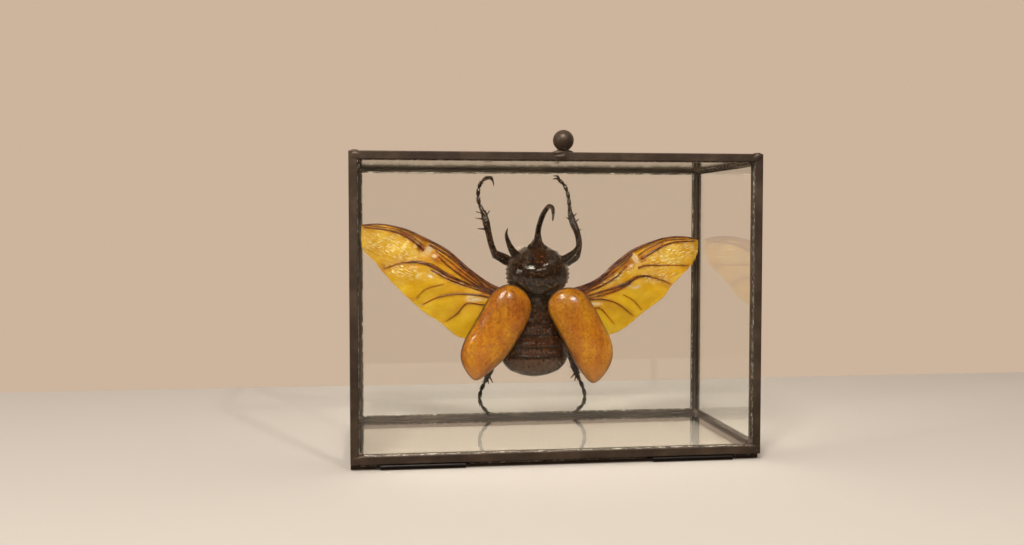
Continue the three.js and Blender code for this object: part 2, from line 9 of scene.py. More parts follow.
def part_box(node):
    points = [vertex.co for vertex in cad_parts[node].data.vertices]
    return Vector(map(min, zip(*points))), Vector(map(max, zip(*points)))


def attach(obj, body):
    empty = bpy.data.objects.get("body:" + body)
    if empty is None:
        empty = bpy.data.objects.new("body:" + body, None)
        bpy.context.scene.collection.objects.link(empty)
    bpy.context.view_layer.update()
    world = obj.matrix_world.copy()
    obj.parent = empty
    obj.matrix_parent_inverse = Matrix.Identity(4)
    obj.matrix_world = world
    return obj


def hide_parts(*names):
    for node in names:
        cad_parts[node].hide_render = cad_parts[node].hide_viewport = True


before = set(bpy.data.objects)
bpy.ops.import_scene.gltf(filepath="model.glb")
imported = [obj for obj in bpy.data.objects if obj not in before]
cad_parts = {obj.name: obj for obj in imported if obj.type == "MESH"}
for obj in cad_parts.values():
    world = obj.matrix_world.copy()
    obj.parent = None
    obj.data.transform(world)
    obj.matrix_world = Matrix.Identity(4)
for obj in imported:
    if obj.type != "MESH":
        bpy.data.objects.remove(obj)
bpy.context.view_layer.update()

# The view: an ordinary lens a little below the top of the box and to its left, on a pale table with soft
# studio light. A broad lamp stands above the camera, a small one to its right and another far to its
# left, and the pale room fills the rest.
camera = bpy.data.objects.new("viewpoint", bpy.data.cameras.new("viewpoint"))
camera.data.lens = 37.93
camera.data.clip_start = 0.01
camera.location = (-0.078506, -0.471137, 0.099021)
camera.rotation_euler = (math.radians(87.3725), 0, math.radians(-7.734))
bpy.context.scene.collection.objects.link(camera)
bpy.context.scene.camera = camera
bpy.context.scene.view_settings.view_transform = "Standard"

table_width, table_depth, table_middle = 2, 0.4, -0.01
table_mesh = bpy.data.meshes.new("table")
table_shape = bmesh.new()
bmesh.ops.create_grid(table_shape, x_segments=1, y_segments=1, size=0.5)
table_shape.to_mesh(table_mesh)
table = bpy.data.objects.new("table", table_mesh)
table.location.y = table_middle
table.scale = (table_width, table_depth, 1)
table.visible_glossy = False
bpy.context.scene.collection.objects.link(table)
table_paint = bpy.data.materials.new("pale_table")
table_paint.use_nodes = True
table_surface = table_paint.node_tree.nodes["Principled BSDF"]
table_surface.inputs["Base Color"].default_value = (0.57, 0.505, 0.44, 1)
table_surface.inputs["Roughness"].default_value = 0.8
table_mesh.materials.append(table_paint)

room = bpy.data.worlds.new("pale_room")
room.use_nodes = True
room_nodes, room_links = room.node_tree.nodes, room.node_tree.links
wall = room_nodes["Background"]
wall.inputs["Color"].default_value = (0.61, 0.455, 0.335, 1)
# What shines back off the glass and the shell: the pale wall behind, and a dim room in front.
facing = room_nodes.new("ShaderNodeTexCoord")
split = room_nodes.new("ShaderNodeSeparateXYZ")
room_links.new(facing.outputs["Generated"], split.inputs["Vector"])
front_to_back = room_nodes.new("ShaderNodeMapRange")
front_to_back.inputs["From Min"].default_value = -0.15
front_to_back.inputs["From Max"].default_value = 0.25
room_links.new(split.outputs["Y"], front_to_back.inputs["Value"])
# A Mix node's two colours are its inputs 6 and 7, and the mixed colour is its output 2.
first_colour, second_colour, mixed_colour = 6, 7, 2
mirrored_colour = room_nodes.new("ShaderNodeMix")
mirrored_colour.data_type = "RGBA"
mirrored_colour.inputs[first_colour].default_value = (0.05, 0.035, 0.02, 1)
mirrored_colour.inputs[second_colour].default_value = (0.60, 0.445, 0.33, 1)
room_links.new(front_to_back.outputs["Result"], mirrored_colour.inputs["Factor"])
mirrored = room_nodes.new("ShaderNodeBackground")
room_links.new(mirrored_colour.outputs[mixed_colour], mirrored.inputs["Color"])
# What lights the dull surfaces: an even, neutral light from all round.
even_light = room_nodes.new("ShaderNodeBackground")
even_light.inputs["Color"].default_value = (0.48, 0.45, 0.415, 1)
kind_of_ray = room_nodes.new("ShaderNodeLightPath")
seen_room = wall
for part_of_room, ray in ((mirrored, "Glossy Depth"), (even_light, "Diffuse Depth")):
    chosen = room_nodes.new("ShaderNodeMixShader")
    room_links.new(kind_of_ray.outputs[ray], chosen.inputs["Fac"])
    room_links.new(seen_room.outputs[0], chosen.inputs[1])
    room_links.new(part_of_room.outputs["Background"], chosen.inputs[2])
    seen_room = chosen
room_links.new(seen_room.outputs[0], room_nodes["World Output"].inputs["Surface"])
bpy.context.scene.world = room
lamp_colour = (1, 0.97, 0.93)
lamp_aim = Vector((0, 0, 0.06))


def lamp(name, place, width, power):
    light = bpy.data.lights.new(name, "AREA")
    light.shape = "DISK"
    light.size = width
    light.energy = power
    light.color = lamp_colour
    stand = bpy.data.objects.new(name, light)
    stand.location = place
    stand.rotation_euler = (lamp_aim - Vector(place)).to_track_quat("-Z", "Y").to_euler()
    bpy.context.scene.collection.objects.link(stand)


lamp("broad_lamp", (-0.2, -0.6, 0.8), 0.24, 7.4)
lamp("small_lamp", (0.2, -0.65, 0.62), 0.04, 1.5)
lamp("left_lamp", (-0.8, -0.4, 0.35), 0.05, 1.1)

# The box's strips: 4 posts and 8 rails of folded brass, blackened to a brown patina. Each closes over
# the edges of two panes, and its rims are rubbed a little round.
lid_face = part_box("lid_left_strip")[0].y


def spot(x, y, z):
    """A place in millimetres, x from the middle, y back from the lid's face, z up from the table."""
    return Vector((x * 0.001, y * 0.001 + lid_face, z * 0.001))


def millimetres(place):
    """The same three numbers read back from a place in the scene."""
    place = place * 1000
    return Vector((place.x, place.y - lid_face * 1000, place.z))


def ends_of(name):
    """The low and high corner of a node of the frame, in millimetres."""
    return [millimetres(corner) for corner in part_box(name)]


def cut(value):
    """value, cut to between 0 and 1."""
    return min(1, max(0, value))


def material_of(name, colour, roughness, metallic=0.0):
    """A new material and its shader."""
    material = bpy.data.materials.new(name)
    material.use_nodes = True
    shader = material.node_tree.nodes["Principled BSDF"]
    shader.inputs["Base Color"].default_value = (*colour, 1)
    shader.inputs["Roughness"].default_value = roughness
    shader.inputs["Metallic"].default_value = metallic
    return material, shader


def pattern(material, scale, detail=3.0, roughness=0.6, stretch=(1, 1, 1)):
    """A noise over the piece, from 0 to 1 and mostly near its middle. scale is in ripples a metre."""
    nodes, links = material.node_tree.nodes, material.node_tree.links
    place = nodes.new("ShaderNodeTexCoord")
    turned = nodes.new("ShaderNodeMapping")
    turned.inputs["Scale"].default_value = stretch
    links.new(place.outputs["Object"], turned.inputs["Vector"])
    cloud = nodes.new("ShaderNodeTexNoise")
    cloud.inputs["Scale"].default_value = scale
    cloud.inputs["Detail"].default_value = detail
    cloud.inputs["Roughness"].default_value = roughness
    links.new(turned.outputs["Vector"], cloud.inputs["Vector"])
    return cloud.outputs["Fac"]


def blend_colours(material, amount, stops):
    """Colours laid along a ramp, read off by amount. Each stop is (place, colour)."""
    ramp = material.node_tree.nodes.new("ShaderNodeValToRGB")
    ramp.color_ramp.elements[0].position = stops[0][0]
    ramp.color_ramp.elements[0].color = (*stops[0][1], 1)
    ramp.color_ramp.elements[1].position = stops[-1][0]
    ramp.color_ramp.elements[1].color = (*stops[-1][1], 1)
    for place, colour in stops[1:-1]:
        ramp.color_ramp.elements.new(place).color = (*colour, 1)
    material.node_tree.links.new(amount, ramp.inputs["Fac"])
    return ramp.outputs["Color"]


def vary(material, amount, low, high):
    """A noise's middle range, from 0.3 to 0.7, made into a value from low to high."""
    span = material.node_tree.nodes.new("ShaderNodeMapRange")
    span.inputs["From Min"].default_value = 0.3
    span.inputs["From Max"].default_value = 0.7
    span.inputs["To Min"].default_value = low
    span.inputs["To Max"].default_value = high
    material.node_tree.links.new(amount, span.inputs["Value"])
    return span.outputs["Result"]


def mix_colours(material, share, first, second, way="MIX"):
    """first and second mixed by share. Each may be a colour or a socket, and share a number or a socket."""
    mixer = material.node_tree.nodes.new("ShaderNodeMix")
    mixer.data_type = "RGBA"
    mixer.blend_type = way
    factor, one, other = mixer.inputs["Factor"], mixer.inputs[first_colour], mixer.inputs[second_colour]
    for socket, value in ((factor, share), (one, first), (other, second)):
        if isinstance(value, bpy.types.NodeSocket):
            material.node_tree.links.new(value, socket)
        elif socket.type == "RGBA":
            socket.default_value = (*value, 1)
        else:
            socket.default_value = value
    return mixer.outputs[mixed_colour]


def roughen(material, *layers):
    """Fine relief on the surface. Each layer is (height socket, depth in metres)."""
    nodes, links = material.node_tree.nodes, material.node_tree.links
    normal = None
    for height, depth in layers:
        bump = nodes.new("ShaderNodeBump")
        bump.inputs["Distance"].default_value = depth
        bump.inputs["Strength"].default_value = 1.0
        links.new(height, bump.inputs["Height"])
        if normal is not None:
            links.new(normal, bump.inputs["Normal"])
        normal = bump.outputs["Normal"]
    links.new(normal, nodes["Principled BSDF"].inputs["Normal"])


patina, patina_shader = material_of("brown_patina", (0.07, 0.046, 0.032), 0.42, 0.45)
patina_cloud = pattern(patina, 90, 5)
patina_grain = pattern(patina, 900, 3)
patina_colour = blend_colours(patina, patina_cloud, [
    (0.30, (0.046, 0.029, 0.018)),
    (0.50, (0.070, 0.044, 0.028)),
    (0.72, (0.108, 0.071, 0.046)),
])
patina.node_tree.links.new(patina_colour, patina_shader.inputs["Base Color"])
patina.node_tree.links.new(vary(patina, patina_grain, 0.32, 0.58), patina_shader.inputs["Roughness"])
roughen(patina, (patina_cloud, 0.00025), (patina_grain, 0.00004))


def rub_edges(name, width):
    """Rounds a folded strip's edges by width."""
    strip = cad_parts[name]
    strip.data.materials.clear()
    strip.data.materials.append(patina)
    weld = strip.modifiers.new("joined", "WELD")
    weld.merge_threshold = 0.00001
    rub = strip.modifiers.new("rubbed", "BEVEL")
    rub.width = width
    rub.segments = 3
    rub.limit_method = "ANGLE"
    rub.harden_normals = True


box_edge, lid_edge = 0.0003, 0.0004
for height in ("bottom", "top"):
    for side in ("left", "right", "front", "back"):
        rub_edges(f"{height}_{side}_strip", box_edge)
for end in ("front", "back"):
    for side in ("left", "right"):
        rub_edges(f"{end}_{side}_post", box_edge)

# The panes: 5 sheets of clear float glass, 2 mm thick with a faint green tint, cut to size and held
# by the strips.
green_tint = (0.995, 1, 0.985, 1)
glass = bpy.data.materials.new("float_glass")
glass.use_nodes = True
glass_nodes, glass_links = glass.node_tree.nodes, glass.node_tree.links
glass_shader = glass_nodes["Principled BSDF"]
glass_shader.inputs["Base Color"].default_value = green_tint
glass_shader.inputs["Transmission Weight"].default_value = 1.0
glass_shader.inputs["Roughness"].default_value = 0.0
glass_shader.inputs["IOR"].default_value = 1.45
# Lamps shine through the panes onto the specimen, without bending.
shadow_side = glass_nodes.new("ShaderNodeLightPath")
shining_through = glass_nodes.new("ShaderNodeBsdfTransparent")
shining_through.inputs["Color"].default_value = green_tint
either = glass_nodes.new("ShaderNodeMixShader")
glass_links.new(shadow_side.outputs["Is Shadow Ray"], either.inputs["Fac"])
glass_links.new(glass_shader.outputs["BSDF"], either.inputs[1])
glass_links.new(shining_through.outputs["BSDF"], either.inputs[2])
glass_links.new(either.outputs["Shader"], glass_nodes["Material Output"].inputs["Surface"])


def glaze(name, material):
    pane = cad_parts[name]
    pane.data.materials.clear()
    pane.data.materials.append(material)


for name in ("back_pane", "left_pane", "right_pane"):
    glaze(name, glass)
# The floor pane is tinted grey as painted shade, standing in for the box's shade on the table seen through
# it.
shade_tinted_glass = glass.copy()
shade_tinted_glass.name = "shade_tinted_glass"
shade_tinted_shader = shade_tinted_glass.node_tree.nodes["Principled BSDF"]
shade_tinted_shader.inputs["Base Color"].default_value = (0.72, 0.715, 0.69, 1)
glaze("bottom_pane", shade_tinted_glass)
# The top pane is tinted dark and made a little dull.
dark_tinted_glass = glass.copy()
dark_tinted_glass.name = "dark_tinted_glass"
dark_tinted_shader = dark_tinted_glass.node_tree.nodes["Principled BSDF"]
dark_tinted_shader.inputs["Base Color"].default_value = (0.40, 0.38, 0.29, 1)
dark_tinted_shader.inputs["Roughness"].default_value = 0.08
dark_tinted_shader.inputs["Specular IOR Level"].default_value = 0.05
glaze("top_pane", dark_tinted_glass)

# The lid: 4 channel strips of the same brass, soldered at their corners round a pane of clear glass. It
# is the box's front.
for side in ("left", "right", "bottom", "top"):
    rub_edges(f"lid_{side}_strip", lid_edge)
glaze("lid_pane", glass)

# The solder: soft tin-lead run by hand into every corner, then blackened with the strips. It stands in
# low lumps on the joints and rounds the inner corners of the lid.
solder_grain = 0.00018


def add_ball(shape, centre, radii, uneven=0.12):
    """An uneven lump about centre, with its radii in millimetres."""
    made = bmesh.ops.create_icosphere(shape, subdivisions=3, radius=1)
    for vertex in made["verts"]:
        way = vertex.co.normalized()
        swell = 1 + uneven * noise.noise(way * 1.7 + Vector(centre))
        vertex.co = spot(*(Vector(centre) + Vector(way[i] * radii[i] * swell for i in range(3))))


def finished(name, mesh, material, body, replaced=()):
    """Puts a mesh in the scene as a smooth piece that rides on a body of the frame."""
    mesh.materials.clear()
    mesh.materials.append(material)
    for face in mesh.polygons:
        face.use_smooth = True
    piece = bpy.data.objects.new(name, mesh)
    bpy.context.scene.collection.objects.link(piece)
    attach(piece, body)
    if replaced:
        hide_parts(*replaced)


def mesh_of(name, shape):
    mesh = bpy.data.meshes.new(name)
    shape.to_mesh(mesh)
    shape.free()
    return mesh


def skin_over(shape, rings):
    """Faces from each ring of corners to the next. A ring of one corner is a tip."""
    for low, high in zip(rings, rings[1:]):
        for i in range(max(len(low), len(high))):
            j = i + 1
            corners = [low[i % len(low)], low[j % len(low)], high[j % len(high)], high[i % len(high)]]
            shape.faces.new(list(dict.fromkeys(corners)))


def skin_and_ends(shape, rings):
    skin_over(shape, rings)
    shape.faces.new(list(reversed(rings[0])))
    shape.faces.new(rings[-1])


def grown_together(name, shape, grain, smoothing):
    """Closed forms that overlap, made one skin with faces about grain metres wide, and smoothed."""
    mesh = mesh_of(name, shape)
    rough = bpy.data.objects.new(name, mesh)
    bpy.context.scene.collection.objects.link(rough)
    skin = rough.modifiers.new("skin", "REMESH")
    skin.mode = "VOXEL"
    skin.voxel_size = grain
    soft = rough.modifiers.new("soft", "SMOOTH")
    soft.factor = 0.5
    soft.iterations = smoothing
    made = bpy.data.meshes.new_from_object(rough.evaluated_get(bpy.context.evaluated_depsgraph_get()))
    bpy.data.objects.remove(rough)
    bpy.data.meshes.remove(mesh)
    made.name = name
    return made


lid_solder = bmesh.new()
for side in (-1, 1):
    for edge, inward in ((2.5, 1), (127.6, -1)):
        add_ball(lid_solder, (side * 82.3, 0.35, edge + inward * 1.9), (2.3, 0.6, 1.7))
        add_ball(lid_solder, (side * 81.3, 1.6, edge + inward * 3.7), (1.7, 1.2, 1.6))
    add_ball(lid_solder, (side * 82.6, 1.7, 127.3), (2.0, 1.3, 0.8))
add_ball(lid_solder, (83.2, 0.6, 126.6), (1.6, 1.1, 1.5))
add_ball(lid_solder, (81.9, 0.5, 5.0), (2.4, 0.9, 1.5))
add_ball(lid_solder, (83.2, 0.4, 3.5), (1.5, 0.8, 0.9))
add_ball(lid_solder, (0.2, 0.25, 125.9), (3.3, 0.75, 1.5), 0.2)
add_ball(lid_solder, (-0.9, 0.3, 127.3), (3.2, 0.7, 0.9), 0.2)
lid_solder_mesh = grown_together("lid_solder", lid_solder, solder_grain, 2)
finished("lid_solder", lid_solder_mesh, patina, "lid")

case_solder = bmesh.new()
for side in (-1, 1):
    for back in (5.6, 80.6):
        add_ball(case_solder, (side * 82.2, back, 124.6), (1.9, 1.9, 1.7))
        add_ball(case_solder, (side * 82.2, back, 6.1), (2.0, 2.0, 1.7))
    for back in (6.3, 82.2):
        add_ball(case_solder, (side * 83.2, back, 127.2), (1.6, 2.1, 0.75))
# A row of lumps was left under the right top strip.
for i in range(16):
    add_ball(case_solder, (82.1, 9 + i * 4.6, 124.1), (1.0, 1.9, 0.85), 0.25)
case_solder_mesh = grown_together("case_solder", case_solder, solder_grain, 2)
finished("case_solder", case_solder_mesh, patina, "case")

# The seams: a thin bead of the same solder, left brighter, that seals the panes to the strips. It is
# smooth round the lid, rougher round the back pane and lumpy beside the top pane.
# The same bright metal also makes a painted highlight: a bead along the case's bottom front.
seam_radius, seam_sides, seam_step = 0.26, 8, 1.1
tinned_and_highlight, tinned_and_highlight_shader = material_of("tinned_seam_and_highlight", (0.42, 0.37, 0.29), 0.38, 0.6)
tinned_cloud = pattern(tinned_and_highlight, 420, 4, 0.7)
tinned_and_highlight.node_tree.links.new(blend_colours(tinned_and_highlight, tinned_cloud, [
    (0.36, (0.050, 0.035, 0.024)), (0.52, (0.20, 0.165, 0.12)), (0.66, (0.62, 0.56, 0.46)),
]), tinned_and_highlight_shader.inputs["Base Color"])
pane_face, pane_back = (corner.y for corner in ends_of("lid_pane"))
opening_left, opening_right = ends_of("lid_left_strip")[1].x, ends_of("lid_right_strip")[0].x
opening_foot, opening_head = ends_of("lid_bottom_strip")[1].z, ends_of("lid_top_strip")[0].z


def add_seam(shape, start, end, radius, lumps):
    """A run bead of solder from start to end in millimetres, wandering a little, with lumps from 0 to 1."""
    start, end = Vector(start), Vector(end)
    steps = int((end - start).length / seam_step)
    turns = [2 * math.pi * k / seam_sides for k in range(seam_sides)]
    rings = []
    along = (end - start).normalized()
    first = along.orthogonal().normalized()
    second = along.cross(first)
    for i in range(steps + 1):
        middle = start.lerp(end, i / steps)
        drift = noise.noise(middle * 0.31) * 0.10
        swell = radius * (1 + lumps * math.sin(i * 2.1) * 0.7 + 0.3 * noise.noise(middle * 0.8))
        ring = []
        for t in turns:
            out = first * (math.cos(t) * swell + drift) + second * math.sin(t) * swell
            ring.append(shape.verts.new(spot(*(middle + out))))
        rings.append(ring)
    skin_and_ends(shape, rings)


def seams(name, body, runs):
    shape = bmesh.new()
    for start, end, radius, lumps in runs:
        add_seam(shape, start, end, radius, lumps)
    finished(name, mesh_of(name, shape), tinned_and_highlight, body)


lid_runs = []
for face in (pane_face, pane_back):
    for x in (opening_left, opening_right):
        lid_runs.append(((x, face, opening_foot), (x, face, opening_head), seam_radius, 0.1))
    for z in (opening_foot, opening_head):
        lid_runs.append(((opening_left, face, z), (opening_right, face, z), seam_radius, 0.1))
seams("lid_seams", "lid", lid_runs)
inner_face = ends_of("back_pane")[0].y
rail_top, rail_under = ends_of("bottom_back_strip")[1].z, ends_of("top_back_strip")[0].z
post_left, post_right = ends_of("back_left_post")[1].x, ends_of("back_right_post")[0].x
seams("case_seams_and_highlight", "case", [
    ((post_left, inner_face, rail_top), (post_right, inner_face, rail_top), 0.3, 0.5),
    ((post_left, inner_face, rail_under), (post_right, inner_face, rail_under), 0.3, 0.4),
    ((post_left, inner_face, rail_top), (post_left, inner_face, rail_under), seam_radius, 0.2),
    ((post_right, inner_face, rail_top), (post_right, inner_face, rail_under), seam_radius, 0.2),
    ((81.2, 9, 124.7), (81.2, 79, 124.7), seam_radius, 1.0),
    ((-81.2, 9, 124.7), (-81.2, 79, 124.7), seam_radius, 1.0),
    # Painted highlight: a bright bead standing in for the line of light under the lid's bottom strip.
    ((-81.3, 3.45, 1.45), (81.3, 3.45, 1.45), 0.2, 0.1),
])

# The knob: a ball turned from brass on a ringed neck, standing in a puddle of solder on the lid's top
# edge, with the strips' patina.


def turned(name, profile, sides):
    """A solid turned about an upright axis. profile holds (radius, height) from bottom to top."""
    shape = bmesh.new()
    rings = []
    for radius, height in profile:
        if radius == 0:
            rings.append([shape.verts.new(Vector((0, 0, height)))])
            continue
        turns = [2 * math.pi * i / sides for i in range(sides)]
        rings.append([shape.verts.new((radius * math.cos(t), radius * math.sin(t), height)) for t in turns])
    skin_over(shape, rings)
    for vertex in shape.verts:
        vertex.co = spot(*vertex.co)
    return mesh_of(name, shape)


neck_radius, ball_radius, ball_middle, ball_rings = 1.95, 4.25, 4.8, 28
knob_profile = [(0, 0.02), (4.05, 0.02), (4.0, 0.35), (3.1, 0.75), (2.3, 0.95), (neck_radius, 1.05)]
knob_profile += [(2.35, 1.12), (2.58, 1.25), (2.6, 1.42), (2.35, 1.6), (neck_radius, 1.68)]
lowest_turn = math.asin(neck_radius / ball_radius)
for i in range(ball_rings):
    turn = lowest_turn + (math.pi - lowest_turn) * i / ball_rings
    knob_profile.append((ball_radius * math.sin(turn), ball_middle - ball_radius * math.cos(turn)))
knob_profile.append((0, ball_middle + ball_radius))
knob_mesh = turned("ball_knob", knob_profile, 64)
knob_across, knob_depth, lid_top = 1.1, 1.6, 127.6
foot_share, foot_top = 0.39, 0.9
for vertex in knob_mesh.vertices:
    # Its foot is squeezed to the strip's width, and the ball's cast skin is a little pitted.
    place = vertex.co * 1000
    across, depth, height = millimetres(vertex.co)
    squeeze = min(1, foot_share + max(0, height - foot_top) * 3.2) if height < foot_top + 0.2 else 1
    pit = 1 - 0.006 * max(0, noise.noise(place * 1.3)) if height > 2 else 1
    vertex.co = spot(knob_across + across * pit, knob_depth + depth * squeeze * pit, lid_top + height)
finished("ball_knob", knob_mesh, patina, "lid", ["knob"])

# The hinges: under the lid's bottom strip its sheet is rolled into 2 long barrels, each turning on a
# wire staple whose ends go into the box.
# The barrels and staples are coloured near black.
black_metal, black_shader = material_of("near_black_hinge", (0.022, 0.017, 0.014), 0.4, 0.8)
black_grain = pattern(black_metal, 500, 4)
black_metal.node_tree.links.new(vary(black_metal, black_grain, 0.3, 0.55), black_shader.inputs["Roughness"])
roughen(black_metal, (black_grain, 0.00005))


def through(points, place):
    """The place from 0 to 1 along a smooth line through points, with its knots evenly spread."""
    points = [Vector(point) for point in points]
    ends = [points[0] * 2 - points[1], *points, points[-1] * 2 - points[-2]]
    position = cut(place) * (len(points) - 1)
    start = min(int(position), len(points) - 2)
    before, a, b, after = ends[start:start + 4]
    gaps = [max((q - p).length ** 0.5, 1e-6) for p, q in ((before, a), (a, b), (b, after))]
    leave = ((a - before) / gaps[0] - (b - before) / (gaps[0] + gaps[1]) + (b - a) / gaps[1]) * gaps[1]
    reach = ((b - a) / gaps[1] - (after - a) / (gaps[1] + gaps[2]) + (after - b) / gaps[2]) * gaps[1]
    t = position - start
    return (
        a * (2 * t ** 3 - 3 * t ** 2 + 1) + leave * (t ** 3 - 2 * t ** 2 + t)
        + b * (3 * t ** 2 - 2 * t ** 3) + reach * (t ** 3 - t ** 2)
    )


def smooth_line(points, count):
    """count + 1 places evenly spaced along a smooth line through points."""
    dense = np.array([through(points, i / (24 * len(points))) for i in range(24 * len(points) + 1)])
    run = np.concatenate([[0], np.cumsum(np.linalg.norm(np.diff(dense, axis=0), axis=1))])
    wanted = np.linspace(0, run[-1], count + 1)
    return [Vector([np.interp(w, run, dense[:, axis]) for axis in range(dense.shape[1])]) for w in wanted]


def add_limb(shape, points, radii, sides, steps):
    """A closed limb along a smooth line in millimetres, its radius read off a list from start to end."""
    line = smooth_line(points, steps)
    way = (line[1] - line[0]).normalized()
    across = way.orthogonal().normalized()
    rings = []
    for i, place in enumerate(line):
        onward = (line[min(i + 1, steps)] - line[max(i - 1, 0)]).normalized()
        across = (across - onward * across.dot(onward)).normalized()
        other = onward.cross(across)
        radius = float(np.interp(i / steps, np.linspace(0, 1, len(radii)), radii))
        turns = [2 * math.pi * k / sides for k in range(sides)]
        rings.append([
            shape.verts.new(spot(*(place + (across * math.cos(t) + other * math.sin(t)) * radius)))
            for t in turns
        ])
    skin_and_ends(shape, rings)


hinge_y, hinge_z, hinge_x, barrel_length, barrel_slices = 1.2, 1.25, 56, 34, 30
barrel_outer, barrel_inner, roll_steps = 1.13, 0.68, 30
roll_start, roll_out, roll_in = 128, 312, 276
wire_radius, wire_bend, wire_past_barrel, rim_y = 0.45, 0.8, 1.6, 3.5
for side, middle in (("left", -hinge_x), ("right", hinge_x)):
    rolled = bmesh.new()
    profile = [(hinge_y - 0.55, 2.5), (hinge_y - 0.6, 2.1)]
    for i in range(roll_steps + 1):
        turn = math.radians(roll_start + roll_out * i / roll_steps)
        profile.append((hinge_y + barrel_outer * math.cos(turn), hinge_z + barrel_outer * math.sin(turn)))
    for i in range(roll_steps + 1):
        turn = math.radians(roll_start + roll_out - roll_in * i / roll_steps)
        profile.append((hinge_y + barrel_inner * math.cos(turn), hinge_z + barrel_inner * math.sin(turn)))
    profile += [(hinge_y - 0.1, 2.0), (hinge_y - 0.05, 2.5)]
    rings = []
    for k in range(barrel_slices + 1):
        x = middle - barrel_length / 2 + barrel_length * k / barrel_slices
        rings.append([rolled.verts.new(spot(x, y, z)) for y, z in profile])
    for low, high in zip(rings, rings[1:]):
        for i in range(len(profile)):
            j = (i + 1) % len(profile)
            rolled.faces.new([low[i], high[i], high[j], low[j]])
    rolled.faces.new(rings[0])
    rolled.faces.new(list(reversed(rings[-1])))
    bmesh.ops.recalc_face_normals(rolled, faces=rolled.faces[:])
    rolled_name = f"{side}_rolled_barrel"
    rolled_mesh = mesh_of(rolled_name, rolled)
    finished(rolled_name, rolled_mesh, black_metal, "lid", [f"{side}_hinge_barrel"])
    rolled_mesh.set_sharp_from_angle(angle=math.radians(40))

    staple = bmesh.new()
    half = barrel_length / 2 + wire_past_barrel - wire_radius
    one_end = [
        (half, rim_y), (half, rim_y - wire_bend), (half, hinge_y + wire_bend), (half - 0.25, hinge_y + 0.2),
        (half - wire_bend, hinge_y), (half - 3, hinge_y),
    ]
    wire = [(middle - x, y, hinge_z) for x, y in one_end] + [(middle, hinge_y, hinge_z)]
    wire += [(middle + x, y, hinge_z) for x, y in reversed(one_end)]
    add_limb(staple, wire, [wire_radius, wire_radius], 14, 160)
    staple_name = f"{side}_wire_staple"
    staple_mesh = mesh_of(staple_name, staple)
    finished(staple_name, staple_mesh, black_metal, "case", [f"{side}_hinge_pin"])

# The beetle's body: thorax and ringed abdomen, grown as one hard dark shell with a glossy, finely
# wrinkled skin. The small triangle between the wing cases is the scutellum. It faces the lid, head up.
body_sections = [
    (26.9, 70.2, 1.5, 1.2), (27.9, 70.2, 6.8, 4), (30, 70.2, 11.8, 6.4), (33, 70.2, 14.6, 7.7),
    (37, 70, 16.2, 8.4), (37.6, 70, 15.7, 8), (43, 70, 16.6, 8.6), (43.6, 70, 16, 8.2), (49, 70, 16.1, 8.7),
    (55, 70, 14.6, 8.7), (61, 70, 12.4, 8.6), (66, 70, 10.6, 8.2),
]


def add_trunk(shape, middle, sections, sides, steps, relief=None):
    """A round-sided trunk, upright. Each section is (height, middle depth, half width, half depth)."""
    places = [(middle, depth, height) for height, depth, _, _ in sections]
    sizes = [(wide, deep, 0) for _, _, wide, deep in sections]
    rings = []
    for i in range(steps + 1):
        place, size = through(places, i / steps), through(sizes, i / steps)
        ring = []
        for k in range(sides):
            turn = 2 * math.pi * k / sides
            lift = relief(turn, place.z) if relief else 0
            x = place.x + math.sin(turn) * (size.x + lift)
            y = place.y - math.cos(turn) * (size.y + lift)
            ring.append(shape.verts.new(spot(x, y, place.z)))
        rings.append(ring)
    skin_and_ends(shape, rings)


ring_edges = {37: 1.0, 41.8: 0.6, 47.2: 1.0}
last_ring, ring_bow = 53, 1.6
shell_grain_size = 0.00028


def from_front(turn):
    """The same turn, from minus to plus half a turn about the front."""
    return (turn + math.pi) % (2 * math.pi) - math.pi


def body_relief(turn, height):
    """Overlapping rings on the abdomen and fine cross wrinkles on the back, in millimetres."""
    lift = 0
    bow = ring_bow * math.cos(turn)
    for edge, step in ring_edges.items():
        below = edge - bow + ring_bow - height
        if below > 0:
            lift -= step * math.exp(-below / 1.3)
        else:
            lift += 0.3 * math.exp(below / 0.6)
    side_turn = from_front(turn)
    facing = max(0, math.cos(turn))
    if 45 < height < 64:
        folds = noise.noise(Vector((side_turn * 9, height * 0.22, 0)))
        creases = noise.noise(Vector((side_turn * 3, height * 1.0, 6)))
        lift += (0.6 * folds + 0.25 * creases) * facing * min(1, (height - 45) / 3, (64 - height) / 3)
    lift += 0.10 * noise.noise(Vector((math.sin(turn) * 2.5, math.cos(turn) * 2.5, height * 0.5)))
    return lift + 0.07 * noise.noise(Vector((side_turn * 12, height * 1.6, 3)))


def painted_shade_groove_at(at):
    """1 in the painted shade line under each ring's edge, 0 elsewhere."""
    bow = ring_bow * (1 - min(1, abs(at.x) / 17) ** 2)
    edges = (edge - bow + ring_bow - 0.5 for edge in (*ring_edges, last_ring))
    return max(math.exp(-((edge - at.z) / 0.42) ** 2) for edge in edges)


def spread(mesh, name, value_at):
    """A value at each vertex for the material to read, worked out from its place in millimetres."""
    values = [value_at(millimetres(vertex.co)) for vertex in mesh.vertices]
    mesh.attributes.new(name, "FLOAT", "POINT").data.foreach_set("value", values)


def read_off(material, name):
    reader = material.node_tree.nodes.new("ShaderNodeAttribute")
    reader.attribute_name = name
    return reader.outputs["Fac"]


